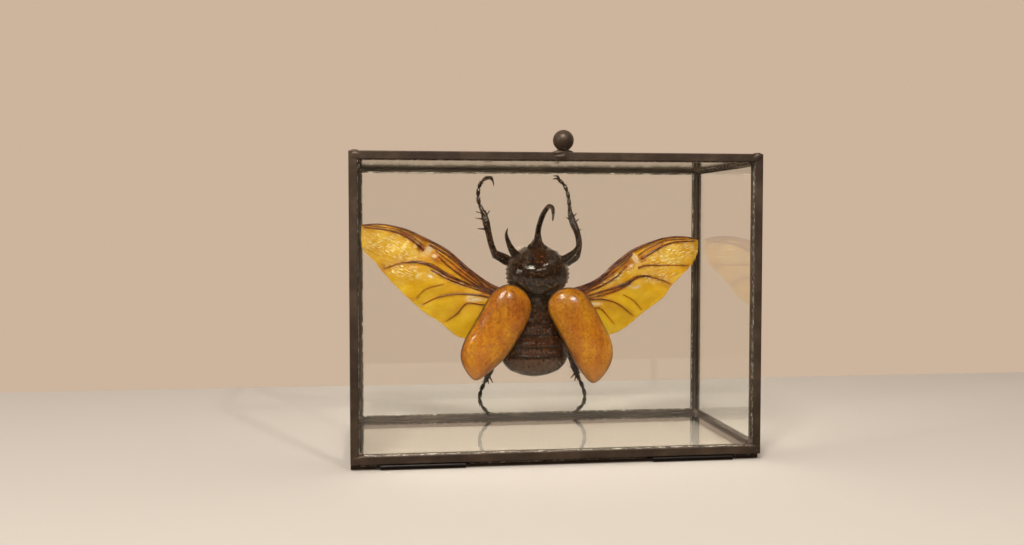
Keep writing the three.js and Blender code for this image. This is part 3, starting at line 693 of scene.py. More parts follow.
shell, shell_shader = material_of("dark_shell", (0.014, 0.009, 0.006), 0.3)
shell_shader.inputs["Specular IOR Level"].default_value = 0.3
shell_shader.inputs["Coat Weight"].default_value = 0.6
shell_shader.inputs["Coat Roughness"].default_value = 0.05
shell_cloud = pattern(shell, 220, 4)
shell_grain = pattern(shell, 1600, 2)
shell_speckle = pattern(shell, 700, 3, 0.7)
dark_shell = blend_colours(shell, shell_speckle, [
    (0.38, (0.006, 0.0026, 0.001)), (0.52, (0.017, 0.0078, 0.003)), (0.68, (0.050, 0.025, 0.010)),
])
red_shell = blend_colours(shell, shell_speckle, [
    (0.36, (0.018, 0.0050, 0.0014)), (0.52, (0.036, 0.0102, 0.0028)), (0.68, (0.072, 0.021, 0.005)),
])
shell_colour = mix_colours(shell, read_off(shell, "redness"), dark_shell, red_shell)
shell_colour = mix_colours(shell, read_off(shell, "dullness"), shell_colour, (0.072, 0.035, 0.017))
# Painted shade: near black in a line under each ring's edge, where the ring above overhangs.
shell_colour = mix_colours(shell, read_off(shell, "painted_shade_groove"), shell_colour, (0.003, 0.0015, 0.001))
shell.node_tree.links.new(shell_colour, shell_shader.inputs["Base Color"])
shell.node_tree.links.new(vary(shell, shell_cloud, 0.10, 0.24), shell_shader.inputs["Roughness"])
roughen(shell, (shell_cloud, 0.0002), (shell_speckle, 0.00012), (shell_grain, 0.00004))

body_shape = bmesh.new()
add_trunk(body_shape, 0, body_sections, 128, 220, body_relief)
add_ball(body_shape, (0.7, 62.9, 65), (4.3, 1.7, 2.4), 0.05)
add_limb(body_shape, [(-3, 62.4, 61.6), (0.7, 61.4, 62.1), (4.4, 62.4, 61.6)], [0.5, 0.75, 0.5], 16, 24)
body_mesh = grown_together("body_shell", body_shape, shell_grain_size, 2)
spread(body_mesh, "redness", lambda at: cut((62 - at.z) / 6) * (0.9 if at.y < 68 else 0.5))
spread(body_mesh, "painted_shade_groove", painted_shade_groove_at)
spread(body_mesh, "dullness", lambda at: (
    0.8 * cut((36.5 - at.z) / 2) * max(0, 0.6 + noise.noise(at * 0.9))
))
finished("body_shell", body_mesh, shell, "case", ["body"])

# The pronotum, or neck shield: one domed plate, polished in the middle and finely pitted at its sides,
# with 2 long curved horns at its sides and 2 short ones in the middle.
pronotum_sections = [
    (66.3, 68, 9.6, 8.4), (68, 67.6, 11.8, 9.8), (71, 67.2, 14, 10.9), (74.5, 67, 14.8, 11.4),
    (78, 67.2, 14.7, 11.1), (81.2, 68, 13.7, 10), (84, 69, 11.6, 8.4), (86.4, 70, 8.6, 6.6),
    (88, 70.6, 5, 4.4),
]


# Low knolls on its face that catch the light: place across and up, width and rise.
face_knolls = ((3.4, 80.4, 1.5, 1.0), (5.2, 78.9, 0.9, 0.6), (-10, 82.4, 1, 0.6))
plate_radius = 14


def pronotum_relief(turn, height):
    """A hollow in the middle, pits, a beaded side edge and the knolls, in millimetres."""
    side = abs(math.sin(turn)) ** 2
    around = Vector((math.sin(turn) * plate_radius, math.cos(turn) * plate_radius, height))
    pits = max(0, noise.noise(around * 0.8)) * 0.5 * side + max(0, noise.noise(around * 1.6)) * 0.22
    side_turn = from_front(turn)
    hollow = math.exp(-(side_turn / 0.22) ** 2) * math.exp(-((height - 83) / 3.2) ** 2)
    beads = 0.4 * side ** 8 * math.sin(height * 3.1)
    knolls = 0
    if math.cos(turn) > 0:
        for x, z, width, lift in face_knolls:
            knolls += lift * math.exp(-((around.x - x) ** 2 + (height - z) ** 2) / width ** 2)
    return 0.3 * noise.noise(around * 0.18) + beads + knolls - pits - hollow


pronotum_shape = bmesh.new()
add_trunk(pronotum_shape, 0.9, pronotum_sections, 144, 110, pronotum_relief)
front_horn = [3, 1.9, 1.3, 0.9, 0.25]
add_limb(pronotum_shape, [
    (-7.5, 68, 82), (-11, 65, 86), (-13.7, 61, 90.5), (-15, 57.5, 94.2), (-14.6, 55, 96.8),
], front_horn, 24, 40)
add_limb(pronotum_shape, [
    (10, 68, 80), (14.8, 65.5, 83), (18.4, 61.5, 87), (19.2, 58.5, 91), (18.4, 56.5, 94),
], front_horn, 24, 40)
for side in (-1, 1):
    add_limb(pronotum_shape, [
        (0.9 + side * 4.4, 62, 80.5), (0.9 + side * 5, 57.6, 82.6), (0.9 + side * 5.4, 55, 84.6),
        (0.9 + side * 5.6, 53.6, 86.4),
    ], [3.8, 2.5, 1.3, 0.3], 20, 24)
pronotum_mesh = grown_together("neck_shield", pronotum_shape, shell_grain_size, 5)
spread(pronotum_mesh, "redness", lambda at: (
    0.1 + 0.9 * math.exp(-((at.x - 0.9) / 2.2) ** 2 - ((at.z - 83) / 3.5) ** 2)
))
finished("neck_shield", pronotum_mesh, shell, "case", ["pronotum"])

# The head: small and rough, with an eye at each side and one long horn that rises and hooks over
# forwards. The horn's skin is grained like leather.
limb_grain_size = 0.0002
head_sections = [
    (84.4, 71.2, 7.2, 5), (86.2, 70.9, 6.3, 4.7), (88, 70.4, 4.6, 4.1), (89.8, 69.9, 3, 3.2),
    (91.6, 69.6, 1.8, 2),
]
head_shape = bmesh.new()
add_trunk(head_shape, 1.2, head_sections, 96, 60)
add_limb(head_shape, [
    (1.4, 69, 89), (0.9, 65, 95.3), (1.2, 60, 99.9), (2, 54, 104), (3.3, 49, 106.5), (4.2, 46, 105.8),
    (4.3, 44, 103.5), (3.7, 42, 100),
], [2.4, 1.4, 1.3, 1.3, 1.15, 0.95, 0.35], 20, 90)
add_ball(head_shape, (-1.8, 66.4, 88), (2, 1.9, 1.7), 0.2)
add_ball(head_shape, (4.3, 66.9, 87.4), (1.6, 1.6, 1.3), 0.2)
for side in (-1, 1):
    add_ball(head_shape, (1.4 + side * 5.4, 71.6, 86.4), (1.3, 1.4, 1.3), 0)
head_mesh = grown_together("horned_head", head_shape, limb_grain_size, 3)
spread(head_mesh, "redness", lambda at: 0.05)
for vertex in head_mesh.vertices:
    at = vertex.co * 1000
    grain = noise.noise(at * 1.9) + 0.5 * noise.noise(at * 4)
    vertex.co -= vertex.normal * 0.00007 * max(0, grain)
finished("horned_head", head_mesh, shell, "case", ["head"])

# The legs: 6, each a stout thigh, a shin with teeth, a foot of 5 knobbed joints and hooked claws, with
# stiff bristles at the joints. The middle pair is held back behind the wing cases.
thigh_radii = [2.1, 2.6, 2]
shin_radii = [1.7, 1.5, 1.5, 1.8, 1.3]
foot_radii = [0.7, 1.15, 0.55, 1.15, 0.55, 1.1, 0.55, 1.05, 0.55, 0.95, 0.55]
claw_radii = [0.6, 0.5, 0.2]
spine_radii = [0.7, 0.42, 0.18]
bristle_radii = [0.24, 0.17, 0.06]
foot_joints = (0.14, 0.34, 0.54, 0.74, 0.92)
shin_places = (0.3, 0.5, 0.7, 0.9)
bristle_chance = random.Random(7)


def add_bristles(mesh, foot, shin):
    """Stiff bristles round the end of each foot joint, and a sparse row down the shin."""
    shape = bmesh.new()
    shape.from_mesh(mesh)
    steps = 50
    for path, joints, count, reach in ((foot, foot_joints, 5, 1.3), (shin, shin_places, 4, 1.5)):
        line = smooth_line(path, steps)
        for joint in joints:
            step = int(joint * steps)
            root = line[step]
            onward = (line[min(step + 2, steps)] - root).normalized()
            start = onward.orthogonal().normalized()
            for i in range(count):
                turn = 2 * math.pi * (i + bristle_chance.random() * 0.6) / count
                out = start * math.cos(turn) + onward.cross(start) * math.sin(turn)
                length = reach * bristle_chance.uniform(0.7, 1.15)
                add_limb(shape, [
                    root + out * 0.5, root + out * (0.5 + length * 0.35) + onward * length * 0.5,
                    root + out * (0.6 + length * 0.45) + onward * length,
                ], bristle_radii, 5, 4)
    shape.to_mesh(mesh)
    shape.free()


def grow_leg(name, node, thigh, shin, foot, claws, spines, thickness=1):
    shape = bmesh.new()
    add_limb(shape, thigh, [radius * thickness for radius in thigh_radii], 18, 20)
    add_limb(shape, shin, [radius * thickness for radius in shin_radii], 18, 30)
    add_limb(shape, foot, [radius * thickness for radius in foot_radii], 14, 60)
    for path in claws:
        add_limb(shape, path, claw_radii, 10, 14)
    for path in spines:
        add_limb(shape, path, spine_radii, 10, 8)
    mesh = grown_together(name, shape, limb_grain_size, 2)
    add_bristles(mesh, foot, shin)
    spread(mesh, "redness", lambda at: 0.1)
    finished(name, mesh, shell, "case", [node])


grow_leg(
    "left_foreleg", "front_left_leg",
    thigh=[(-8, 74.5, 78.5), (-13.5, 73.5, 82), (-18.8, 72.2, 84.6)],
    shin=[(-18.2, 72.2, 84), (-20, 72.2, 88.5), (-21.2, 73.4, 94), (-22.4, 75, 100), (-23.6, 76, 104.8)],
    foot=[
        (-23.4, 76, 104), (-25.3, 76.8, 108), (-25.8, 77.3, 112.5), (-25.1, 77.8, 116.5),
        (-23.2, 78.3, 119.2), (-20.7, 78.8, 120.8),
    ],
    claws=[
        [(-21.2, 78.7, 120.6), (-18.9, 79.2, 119.4), (-18, 79.6, 116.5)],
        [(-21.2, 78.7, 120.6), (-19.4, 78, 120.6), (-18.4, 77.6, 118.6)],
    ],
    spines=[
        [(-22, 75, 100.6), (-27.4, 76, 101.4)], [(-22.8, 75.6, 103.4), (-27.2, 76.4, 104.4)],
        [(-21.4, 74, 96), (-26.6, 75.4, 96.4)], [(-22.6, 75.4, 102), (-20.4, 75, 105)],
    ],
)
grow_leg(
    "right_foreleg", "front_right_leg",
    thigh=[(8, 74.5, 77.5), (14.5, 73.6, 80), (20.6, 72.2, 83.4)],
    shin=[(20.4, 72.2, 82.8), (21.6, 72, 89), (20.9, 73, 94.3), (19.2, 75, 99.4), (18, 76, 104)],
    foot=[
        (18, 76, 103.2), (17.8, 76.8, 107.5), (17.4, 77.3, 111.5), (16.5, 77.8, 115), (15, 78.3, 117.8),
        (13, 78.8, 119.6),
    ],
    claws=[
        [(13.4, 78.7, 119.3), (11.8, 79, 120.2), (10.2, 79.5, 119.8)],
        [(13.4, 78.7, 119.3), (12.4, 78.2, 121.2), (10.2, 78, 121.4)],
    ],
    spines=[
        [(19.4, 75, 99.2), (15.9, 76, 102)], [(18.6, 75.4, 101.2), (21.2, 76.2, 103.6)],
        [(19.4, 74.8, 98.8), (22.3, 75.8, 101)], [(20.6, 73.6, 95), (23.4, 74.8, 96.2)],
    ],
)
for name, side, foot_end in (("left", -1, (-26.6, 79, 31.6)), ("right", 1, (27.4, 79, 31.4))):
    grow_leg(
        f"{name}_middle_leg", f"middle_{name}_leg", thickness=0.9,
        thigh=[(side * 8.5, 75, 64), (side * 15.5, 75, 60.5), (side * 21.5, 75, 55.5)],
        shin=[(side * 21, 75, 56), (side * 24, 75.2, 51), (side * 26.4, 75.8, 46.4), (side * 28.4, 76.5, 42)],
        foot=[(side * 28, 76.4, 42.6), (side * 29.2, 77.2, 38), (side * 28.8, 78.2, 34.4), foot_end],
        claws=[[
            foot_end, (foot_end[0] - side * 1.6, 79.4, foot_end[2] - 0.4),
            (foot_end[0] - side * 2.2, 79.8, foot_end[2] + 1),
        ]],
        spines=[
            [(side * 27.6, 76, 43.6), (side * 30, 76.6, 41)],
            [(side * 26.6, 75.8, 46), (side * 29, 76.2, 44.6)],
        ],
    )
grow_leg(
    "left_hindleg", "hind_left_leg",
    thigh=[(-8, 74.5, 51), (-13.5, 74.8, 44), (-17, 75, 37.5)],
    shin=[(-16.6, 75, 38.2), (-18.4, 75.6, 34), (-20.2, 76, 29.8), (-21.7, 76.5, 25.8)],
    foot=[
        (-21.4, 76.4, 26.6), (-22.8, 77, 23.5), (-24.6, 78, 19), (-25.1, 78.5, 15.2), (-23.9, 79, 11.8),
        (-21.6, 79.6, 9.2),
    ],
    claws=[
        [(-22, 79.5, 9.6), (-20.6, 80, 8.4), (-18.9, 80.4, 8)],
        [(-22, 79.5, 9.6), (-21.4, 79, 8), (-19.8, 78.6, 7.2)],
    ],
    spines=[
        [(-21, 76.4, 27), (-18.8, 77, 22.9)], [(-21.6, 76.4, 26.4), (-21, 76.4, 22.4)],
        [(-20, 76, 30.2), (-18.4, 76.2, 29)], [(-20.8, 76.4, 27.8), (-23.2, 76.6, 26.2)],
    ],
)
grow_leg(
    "right_hindleg", "hind_right_leg",
    thigh=[(8, 74.5, 51), (13, 74.8, 45), (16.4, 75, 39.8)],
    shin=[(16, 75, 40.6), (18, 75.6, 36), (19.8, 76, 31.6), (21.8, 76.5, 26.6)],
    foot=[
        (21.4, 76.4, 27.4), (22.9, 77, 24), (24.8, 78, 20), (25.9, 78.5, 15.5), (25, 79, 11.4),
        (22.4, 79.6, 8.8),
    ],
    claws=[
        [(22.8, 79.5, 9.2), (21.4, 80, 8), (19.8, 80.4, 7.7)],
        [(22.8, 79.5, 9.2), (22, 79, 7.8), (20.6, 78.6, 7.1)],
    ],
    spines=[
        [(21.4, 76.4, 27.8), (18.6, 77, 24.6)], [(21.6, 76.4, 27), (20.4, 76.6, 23)],
        [(20.2, 76, 31.4), (18, 76.2, 30)], [(21.2, 76.2, 28.6), (23.6, 76.6, 27)],
    ],
)

# The wing cases: 2 domed elytra, hard and orange brown, opened to each side. Each has a fine dark bead
# round its rim and a faintly dimpled polish.


def close_line(points, count):
    """count places along a smooth closed line through flat points."""
    n = len(points)
    wrapped = [(x, z, 0) for x, z in points[-2:] + points + points[:3]]
    return [through(wrapped, (2 + n * i / count) / (n + 4)) for i in range(count)]


case_rim_y, case_rise, case_thickness = 60, 7, 0.7
case_rings, case_spokes = 34, 200


def grow_elytron(name, node, outline, middle):
    """A domed shell over a flat outline, with a bead round its rim and a plain hollow underside."""
    edge = close_line(outline, 720)
    turns = np.array([math.atan2(p.y - middle[1], p.x - middle[0]) for p in edge])
    reaches = np.array([math.hypot(p.x - middle[0], p.y - middle[1]) for p in edge])
    order = np.argsort(turns)
    outer = [math.pi / 2 * i / case_rings for i in range(case_rings + 1)]
    levels = []
    for t in outer:
        out = math.sin(t)
        bead = 0.28 * math.exp(-((out - 0.985) / 0.014) ** 2) - 0.16 * math.exp(-((out - 0.945) / 0.016) ** 2)
        levels.append((out, case_rise * math.cos(t) + bead))
    levels.append((0.965, 0.0))
    under_rise = case_rise - case_thickness
    levels += [(0.955 * math.sin(t), under_rise * math.cos(t)) for t in reversed(outer[:-1])]
    shape = bmesh.new()
    made = []
    for out, lift in levels:
        if out < 1e-6:
            made.append([shape.verts.new(spot(middle[0], case_rim_y - lift, middle[1]))])
            continue
        ring = []
        for k in range(case_spokes):
            turn = -math.pi + 2 * math.pi * k / case_spokes
            reach = float(np.interp(turn, turns[order], reaches[order], period=2 * math.pi))
            x, z = middle[0] + math.cos(turn) * reach * out, middle[1] + math.sin(turn) * reach * out
            lift_here = lift + 0.12 * noise.noise(Vector((x * 0.2, z * 0.09, 5))) * (1 - out)
            ring.append(shape.verts.new(spot(x, case_rim_y - lift_here, z)))
        made.append(ring)
    for low, high in zip(made, made[1:]):
        for k in range(case_spokes):
            j = k + 1
            corners = [low[k % len(low)], high[k % len(high)], high[j % len(high)], low[j % len(low)]]
            shape.faces.new(list(dict.fromkeys(corners)))
    bmesh.ops.recalc_face_normals(shape, faces=shape.faces[:])
    mesh = mesh_of(name, shape)

    def rim_at(at):
        turn = math.atan2(at.z - middle[1], at.x - middle[0])
        reach = float(np.interp(turn, turns[order], reaches[order], period=2 * math.pi))
        from_edge = reach - math.hypot(at.x - middle[0], at.z - middle[1])
        return math.exp(-(max(0, from_edge) / 0.55) ** 2)

    spread(mesh, "rim", rim_at)
    spread(mesh, "paleness", lambda at: cut((36 - at.z) / 14))
    finished(name, mesh, elytron_finish, "case", [node])


elytron_finish, elytron_shader = material_of("orange_elytron", (0.5, 0.16, 0.018), 0.34)
elytron_shader.inputs["Specular IOR Level"].default_value = 0.1
elytron_shader.inputs["Coat Weight"].default_value = 0.8
elytron_shader.inputs["Coat Roughness"].default_value = 0.19
elytron_cloud = pattern(elytron_finish, 160, 5, stretch=(1, 1, 0.35))
elytron_speckle = pattern(elytron_finish, 800, 4, 0.7)
orange = blend_colours(elytron_finish, elytron_cloud, [
    (0.30, (0.29, 0.066, 0.0005)), (0.48, (0.41, 0.126, 0.0005)), (0.70, (0.53, 0.215, 0.001)),
])
speckled = blend_colours(elytron_finish, elytron_speckle, [
    (0.36, (0.55, 0.45, 0.3)), (0.50, (0.95, 0.95, 0.9)), (0.66, (1.15, 1.25, 1.5)),
])
orange = mix_colours(elytron_finish, 0.8, orange, speckled, "MULTIPLY")
orange = mix_colours(elytron_finish, read_off(elytron_finish, "paleness"), orange, (0.47, 0.175, 0.03))
orange = mix_colours(elytron_finish, read_off(elytron_finish, "rim"), orange, (0.035, 0.012, 0.005))
elytron_finish.node_tree.links.new(orange, elytron_shader.inputs["Base Color"])
roughen(elytron_finish, (elytron_speckle, 0.0012), (elytron_cloud, 0.0008))

grow_elytron("left_wing_case", "left_elytron", [
    (-13.5, 71), (-20, 68.3), (-24.5, 62), (-29, 54), (-34, 45.5), (-35.8, 38), (-33.5, 31.5), (-29, 27),
    (-22, 31), (-14.5, 38), (-8, 48), (-4, 56), (-3.2, 62), (-6.5, 68),
], (-19.5, 49.5))
grow_elytron("right_wing_case", "right_elytron", [
    (14.5, 69.3), (20, 68), (26, 60.5), (30.5, 52.5), (34.5, 44), (35.2, 37), (32, 29.5), (26, 24.6),
    (19.5, 31), (13.5, 41), (8, 51.5), (4.6, 59), (5, 64), (9, 68),
], (18.3, 49.5))

# The flying wings: 2 dried sheets of amber skin, thin enough to let light through, crinkled and held
# open by dark branching veins. A bundle of veins stiffens each front edge as far as the folding joint,
# where a small pale patch shows.
membrane, membrane_shader = material_of("amber_membrane", (0.68, 0.35, 0.015), 0.1)
membrane_shader.inputs["Transmission Weight"].default_value = 0.7
membrane_shader.inputs["IOR"].default_value = 1.45
membrane_cloud = pattern(membrane, 130, 4)
amber = blend_colours(membrane, membrane_cloud, [
    (0.3, (0.76, 0.38, 0.006)), (0.5, (0.86, 0.52, 0.02)), (0.7, (0.95, 0.68, 0.08)),
])
lemon = blend_colours(membrane, membrane_cloud, [(0.3, (0.76, 0.44, 0.006)), (0.7, (0.88, 0.64, 0.03))])
rust = blend_colours(membrane, membrane_cloud, [(0.35, (0.36, 0.075, 0.004)), (0.65, (0.85, 0.34, 0.016))])
amber = mix_colours(membrane, read_off(membrane, "lemon"), amber, lemon)
amber = mix_colours(membrane, read_off(membrane, "stain"), amber, rust)
# Painted glints: pale streaks standing in for light glancing off the crinkles.
amber = mix_colours(membrane, read_off(membrane, "painted_glint"), amber, (0.98, 0.84, 0.44))
amber = mix_colours(membrane, read_off(membrane, "paleness"), amber, (0.90, 0.72, 0.46))
membrane.node_tree.links.new(amber, membrane_shader.inputs["Base Color"])
membrane_crinkle = pattern(membrane, 700, 3, stretch=(1, 1, 1.8))
roughen(membrane, (membrane_crinkle, 0.00025))

vein_finish, vein_shader = material_of("dark_vein", (0.05, 0.012, 0.005), 0.25)
vein_cloud = pattern(vein_finish, 400, 3)
vein_finish.node_tree.links.new(blend_colours(vein_finish, vein_cloud, [
    (0.35, (0.030, 0.008, 0.004)), (0.65, (0.16, 0.040, 0.009)),
]), vein_shader.inputs["Base Color"])


wing_root, wing_tip, root_depth, wing_bow, skin_thickness = 9, 81.8, 68, 7, 0.14


def wing_depth(x):
    """How deep in the box the bowed wing lies."""
    reach = cut((abs(x) - wing_root) / (wing_tip - wing_root))
    return root_depth + wing_bow * (1 - (1 - reach) ** 2)


def wing_lines(x, z):
    """How far a place is along the wing, which rises outwards, and how far across it."""
    return abs(x) * 0.92 + z * 0.39, z * 0.92 - abs(x) * 0.39


def crinkle(x, z):
    """Dried folds of the skin, in millimetres: long pleats and finer crumples towards the tip."""
    outward = cut((abs(x) - 14) / 20)
    tip = cut((abs(x) - 44) / 20)
    pleats = 0.30 * math.sin(z * 0.55 + abs(x) * 0.22 + 1.5 * noise.noise(Vector((x * 0.05, z * 0.05, 0))))
    along, across = wing_lines(x, z)
    folds = 0.40 * noise.noise(Vector((along * 0.16, across * 0.75, 1.7 + x * 0.001)))
    folds += 0.22 * noise.noise(Vector((along * 0.5, across * 1.3, 4)))
    patchy = cut(0.55 + 2.6 * noise.noise(Vector((x * 0.09, z * 0.12, 8))))
    return outward * (pleats + folds * patchy * (0.6 + 0.9 * tip))


def grow_wing(name, node, leading, trailing, veins, patches):
    """veins holds (path, radii) in flat places, and patches (kind, place, radius along, across, lean)."""
    along, across = 230, 96
    front = smooth_line([(x, z, 0) for x, z in leading], along)
    rear = smooth_line([(x, z, 0) for x, z in trailing], along)
    shape = bmesh.new()
    layers = []
    for thick in (0, skin_thickness):
        layer = []
        for i in range(along + 1):
            row = []
            for j in range(across + 1):
                flat = front[i].lerp(rear[i], j / across)
                if j == across:
                    flat += (rear[i] - front[i]).normalized() * 0.45 * noise.noise(Vector((i * 0.11, 3, 0)))
                depth = wing_depth(flat.x) + crinkle(flat.x, flat.y) + thick
                row.append(shape.verts.new(spot(flat.x, depth, flat.y)))
            layer.append(row)
        layers.append(layer)
    for layer in layers:
        for i in range(along):
            for j in range(across):
                shape.faces.new([layer[i][j], layer[i + 1][j], layer[i + 1][j + 1], layer[i][j + 1]])
    near, far = layers
    rim = [(i, 0) for i in range(along)] + [(along, j) for j in range(across)]
    rim += [(i, across) for i in range(along, 0, -1)] + [(0, j) for j in range(across, 0, -1)]
    for (i, j), (k, m) in zip(rim, rim[1:] + rim[:1]):
        shape.faces.new([near[i][j], near[k][m], far[k][m], far[i][j]])
    bmesh.ops.recalc_face_normals(shape, faces=shape.faces[:])
    skin_faces = len(shape.faces)
    lines = []
    for path, radii in veins:
        flat_line = smooth_line([(x, z, 0) for x, z in path], 14 * len(path))
        lines.append((flat_line, radii))
        raised = [(p.x, wing_depth(p.x) + crinkle(p.x, p.y) - 0.1, p.y) for p in flat_line]
        add_limb(shape, raised, radii, 8, len(flat_line))
    mesh = mesh_of(name, shape)
    samples = np.array([(p.x, p.y, max(radii)) for line, radii in lines for p in line])

    def in_patches(at, wanted):
        """1 in the middle of a patch of the wanted kind, falling to 0 outside."""
        most = 0
        for kind, (x, z), long, short, lean in patches:
            if kind == wanted:
                u = (at.x - x) * math.cos(lean) + (at.z - z) * math.sin(lean)
                v = -(at.x - x) * math.sin(lean) + (at.z - z) * math.cos(lean)
                most = max(most, math.exp(-((u / long) ** 2 + (v / short) ** 2) ** 2))
        return most

    def stain_at(at):
        away = np.hypot(samples[:, 0] - at.x, samples[:, 1] - at.z) / (0.35 + 1.2 * samples[:, 2])
        return max(0.75 * math.exp(-float(away.min()) ** 1.3), in_patches(at, "stain"))

    # Painted glints: where the pale streaks of painted highlight lie, in streaky patches.
    def painted_glint_at(at):
        u, v = wing_lines(at.x, at.z)
        streak = noise.noise(Vector((u * 0.45, v * 1.9, 5)))
        streak += 0.5 * noise.noise(Vector((u * 1.3, v * 2.6, 9)))
        return in_patches(at, "painted_glint") * cut((streak - 0.08) / 0.2)

    spread(mesh, "stain", stain_at)
    spread(mesh, "painted_glint", painted_glint_at)
    spread(mesh, "lemon", lambda at: in_patches(at, "lemon"))
    spread(mesh, "paleness", lambda at: in_patches(at, "pale"))
    finished(name, mesh, membrane, "case", [node])
    mesh.materials.append(vein_finish)
    for face in mesh.polygons:
        face.material_index = 1 if face.index >= skin_faces else 0


left_leading = [
    (-9, 66), (-19.4, 69.3), (-30, 76.6), (-40.7, 86), (-49.2, 90.8), (-61, 96.3), (-72.7, 98.5), (-80.2, 98),
]
left_trailing = [
    (-9, 56), (-20, 48), (-30, 45), (-36, 46), (-44, 52.5), (-52, 57.8), (-63, 68), (-70, 75.5), (-75, 82),
    (-79.6, 86.5), (-80.6, 91.5),
]
grow_wing("left_flying_wing", "left_hindwing", left_leading, left_trailing, [
    (left_leading, [1.0, 0.8, 0.7, 0.6, 0.4, 0.25]),
    ([(-14, 66), (-21.6, 68.6), (-30, 75), (-40.6, 84), (-49.2, 89)], [0.7, 0.5, 0.5, 0.6]),
    ([(-14, 65), (-22, 68), (-30.5, 73.6), (-39, 80.5), (-46, 86)], [0.5, 0.35, 0.3, 0.2]),
    ([(-14, 64.4), (-24, 68.2), (-33, 73.5), (-41, 79.6), (-45, 83.6)], [0.5, 0.45, 0.45, 0.25]),
    ([(-51.7, 86.1), (-53.4, 87.9), (-59.4, 92.5), (-66.3, 95.3), (-79.1, 97)], [0.6, 0.45, 0.25]),
    ([(-52.4, 89), (-58, 93.2), (-64.5, 96), (-78, 98)], [0.3, 0.25, 0.15]),
    ([(-14, 63), (-22.5, 67.3), (-31.9, 70.9), (-40.6, 74.7), (-48.4, 79.3), (-53, 80.6), (-57.1, 80.8),
      (-63.5, 80), (-69.8, 77.7)], [0.5, 0.5, 0.45, 0.5, 0.8, 0.85, 0.5, 0.25, 0.15]),
    ([(-20, 65.6), (-30, 69), (-40, 72.6), (-48, 77)], [0.4, 0.3, 0.35, 0.2]),
    ([(-14, 61), (-23.2, 64.7), (-33.8, 65.9), (-40.6, 65.4), (-47.1, 63.6), (-52.3, 60.8)],
     [0.5, 0.35, 0.18]),
    ([(-14, 59), (-25.8, 61), (-31.9, 61.4), (-36.3, 56.6), (-41.1, 53.2)], [0.4, 0.28, 0.12]),
    ([(-42.7, 70.5), (-51.1, 68), (-54.9, 64.1)], [0.12, 0.14, 0.1]),
    ([(-42.7, 74), (-48.3, 77.1)], [0.25, 0.4, 0.25]),
] + [
    ([(-50.5 - i * 0.62, 91.4 + i * 0.24), (-50.9 - i * 0.62, 89.9 + i * 0.26)], [0.13, 0.1])
    for i in range(20)
], [
    ("pale", (-49.0, 87.0), 2.9, 1.5, 0.9), ("pale", (-46.8, 83.6), 1.3, 0.9, -0.3),
    ("pale", (-46.5, 76.0), 2.2, 0.7, -0.3), ("pale", (-48.6, 74.2), 1.8, 0.9, -0.4),
    ("pale", (-28, 63.2), 4.2, 0.9, 0.05), ("pale", (-30, 64.6), 2.5, 0.5, 0.1),
    ("stain", (-52.6, 87.6), 2.4, 2.4, -0.8), ("stain", (-45, 83), 4.0, 2.6, -0.6),
    ("stain", (-33, 75.2), 13, 2.2, -0.68), ("stain", (-58, 92.6), 6, 1.5, -0.45),
    ("stain", (-38, 72.4), 11, 1.3, -0.4), ("stain", (-22, 67), 6, 2.6, -0.3),
    ("painted_glint", (-66, 88.3), 16, 6.5, -0.3), ("painted_glint", (-60.6, 76.6), 10, 3.4, -0.2),
    ("painted_glint", (-36, 71.5), 12, 1.3, -0.42),
    ("lemon", (-46, 60), 17, 9, -0.6), ("lemon", (-36, 52), 12, 7, -0.3),
])
right_leading = [
    (9, 66), (21.4, 68.4), (31, 72.4), (38.5, 79), (47, 85.3), (59, 90.4), (67.4, 92.2), (75, 92.2),
    (80.6, 91),
]
right_trailing = [
    (9, 56), (20, 48.5), (30, 45), (37.3, 46), (44, 48.8), (52, 55), (63.5, 63.4), (68, 69.2), (77.5, 79),
    (80.6, 84.5),
]
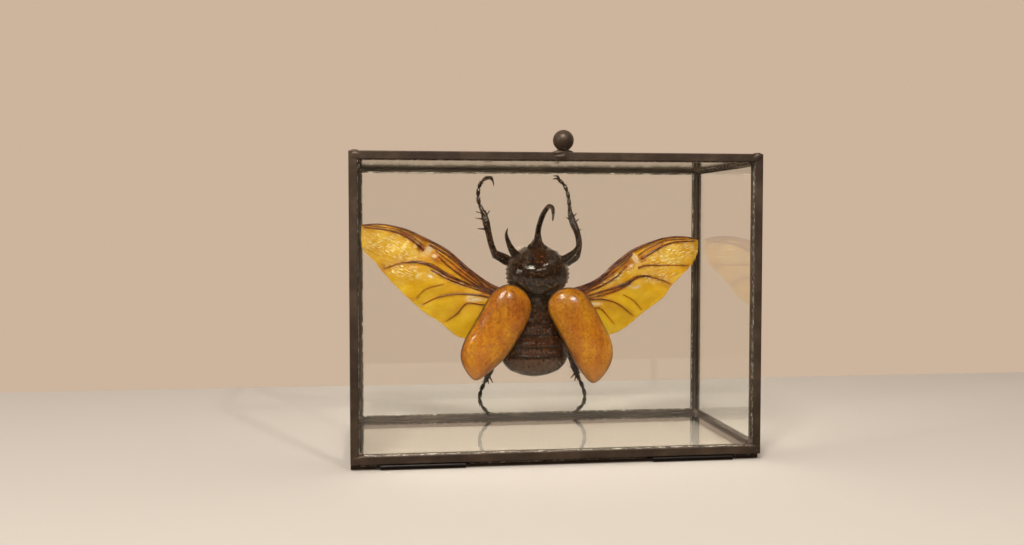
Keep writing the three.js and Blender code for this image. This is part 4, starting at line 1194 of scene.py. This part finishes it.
grow_wing("right_flying_wing", "right_hindwing", right_leading, right_trailing, [
    (right_leading, [1.0, 0.8, 0.7, 0.6, 0.4, 0.25]),
    ([(14, 64.6), (22, 67.2), (30.7, 71.4), (38.4, 77.6), (47.7, 84.2)], [0.7, 0.5, 0.5, 0.6]),
    ([(14, 64), (23, 66.6), (32, 71), (39, 76), (46, 81.5)], [0.5, 0.35, 0.3, 0.2]),
    ([(14, 63), (24, 66), (33, 69.4), (40.5, 74), (45, 78.4)], [0.5, 0.45, 0.45, 0.25]),
    ([(52.6, 81.8), (58.8, 85.7), (66.9, 89.3), (79, 90.4)], [0.6, 0.45, 0.25]),
    ([(51, 83.6), (57, 87.6), (64, 90.4), (77, 91.4)], [0.3, 0.25, 0.15]),
    ([(50.7, 77.5), (54, 78.6), (58, 78.8), (75.3, 78.5)], [0.5, 0.25, 0.1]),
    ([(14, 61.5), (27.3, 65), (38.5, 68), (45, 70.3), (50, 73), (54.5, 73.6), (59, 72.6),
      (63, 71.4), (67, 69.7)], [0.5, 0.5, 0.45, 0.5, 0.8, 0.85, 0.45, 0.25, 0.15]),
    ([(20, 61.8), (30, 64.2), (40, 66.8), (47, 70)], [0.4, 0.3, 0.35, 0.2]),
    ([(14, 60), (26.8, 62.6), (34.6, 62.5), (40.5, 60.5), (48.3, 54.8)], [0.5, 0.35, 0.18]),
    ([(14, 57.5), (28.5, 58.5), (31.7, 58.5), (35.4, 54.9), (39.1, 50.5)], [0.4, 0.28, 0.12]),
    ([(43.4, 64.8), (48.3, 62), (52.5, 57.5)], [0.12, 0.14, 0.1]),
] + [
    ([(49 + i * 0.62, 86.2 + i * 0.27), (49.5 + i * 0.62, 84.9 + i * 0.28)], [0.13, 0.1]) for i in range(18)
], [
    ("pale", (49.2, 82.0), 2.9, 1.4, -1.0), ("pale", (47.2, 78.6), 1.3, 0.9, 0.3),
    ("pale", (50, 68.4), 2.0, 0.8, 0.3), ("pale", (46.4, 69), 1.2, 0.6, 0.3),
    ("pale", (29, 60.6), 3.8, 0.9, 0.0),
    ("stain", (53, 82.2), 2.4, 2.2, 0.8), ("stain", (46, 78.6), 4.0, 2.6, 0.6),
    ("stain", (33, 72), 12, 2.2, 0.62), ("stain", (59, 87.2), 6, 1.4, 0.45),
    ("stain", (38, 66.4), 11, 1.3, 0.33), ("stain", (22, 65), 6, 2.6, 0.25),
    ("painted_glint", (66, 83), 15, 6, 0.35), ("painted_glint", (60, 73), 9, 3, 0.1), ("painted_glint", (40, 73), 12, 2, 0.5),
    ("lemon", (47, 58), 17, 9, 0.6), ("lemon", (36, 52), 12, 7, 0.3),
])

# The glue: a flat round dab between the beetle's underside and the back pane. It is clear glue that has
# yellowed and clouded a little with age.
glue_middle, glue_back = 60, 78.3
glue_finish, glue_shader = material_of("clear_glue", (0.66, 0.53, 0.32), 0.22)
glue_shader.inputs["Transmission Weight"].default_value = 0.5
glue_shader.inputs["IOR"].default_value = 1.48
glue_ripple = pattern(glue_finish, 260, 2)
roughen(glue_finish, (glue_ripple, 0.0002))
glue_mesh = turned("glue", [
    (0, 0), (6.2, 0), (6.0, 0.7), (5.8, 1.6), (6.0, 2.4), (6.9, 3.1), (7.4, 3.4), (0, 3.4),
], 72)
for vertex in glue_mesh.vertices:
    across, up, along = millimetres(vertex.co)
    turn = math.atan2(up, across)
    lobes = 1 + 0.08 * noise.noise(Vector((math.cos(turn), math.sin(turn), 2)) * 1.5)
    vertex.co = spot(across * lobes, glue_back + along, glue_middle + up * lobes)
finished("glue", glue_mesh, glue_finish, "case", ["glue_dab"])
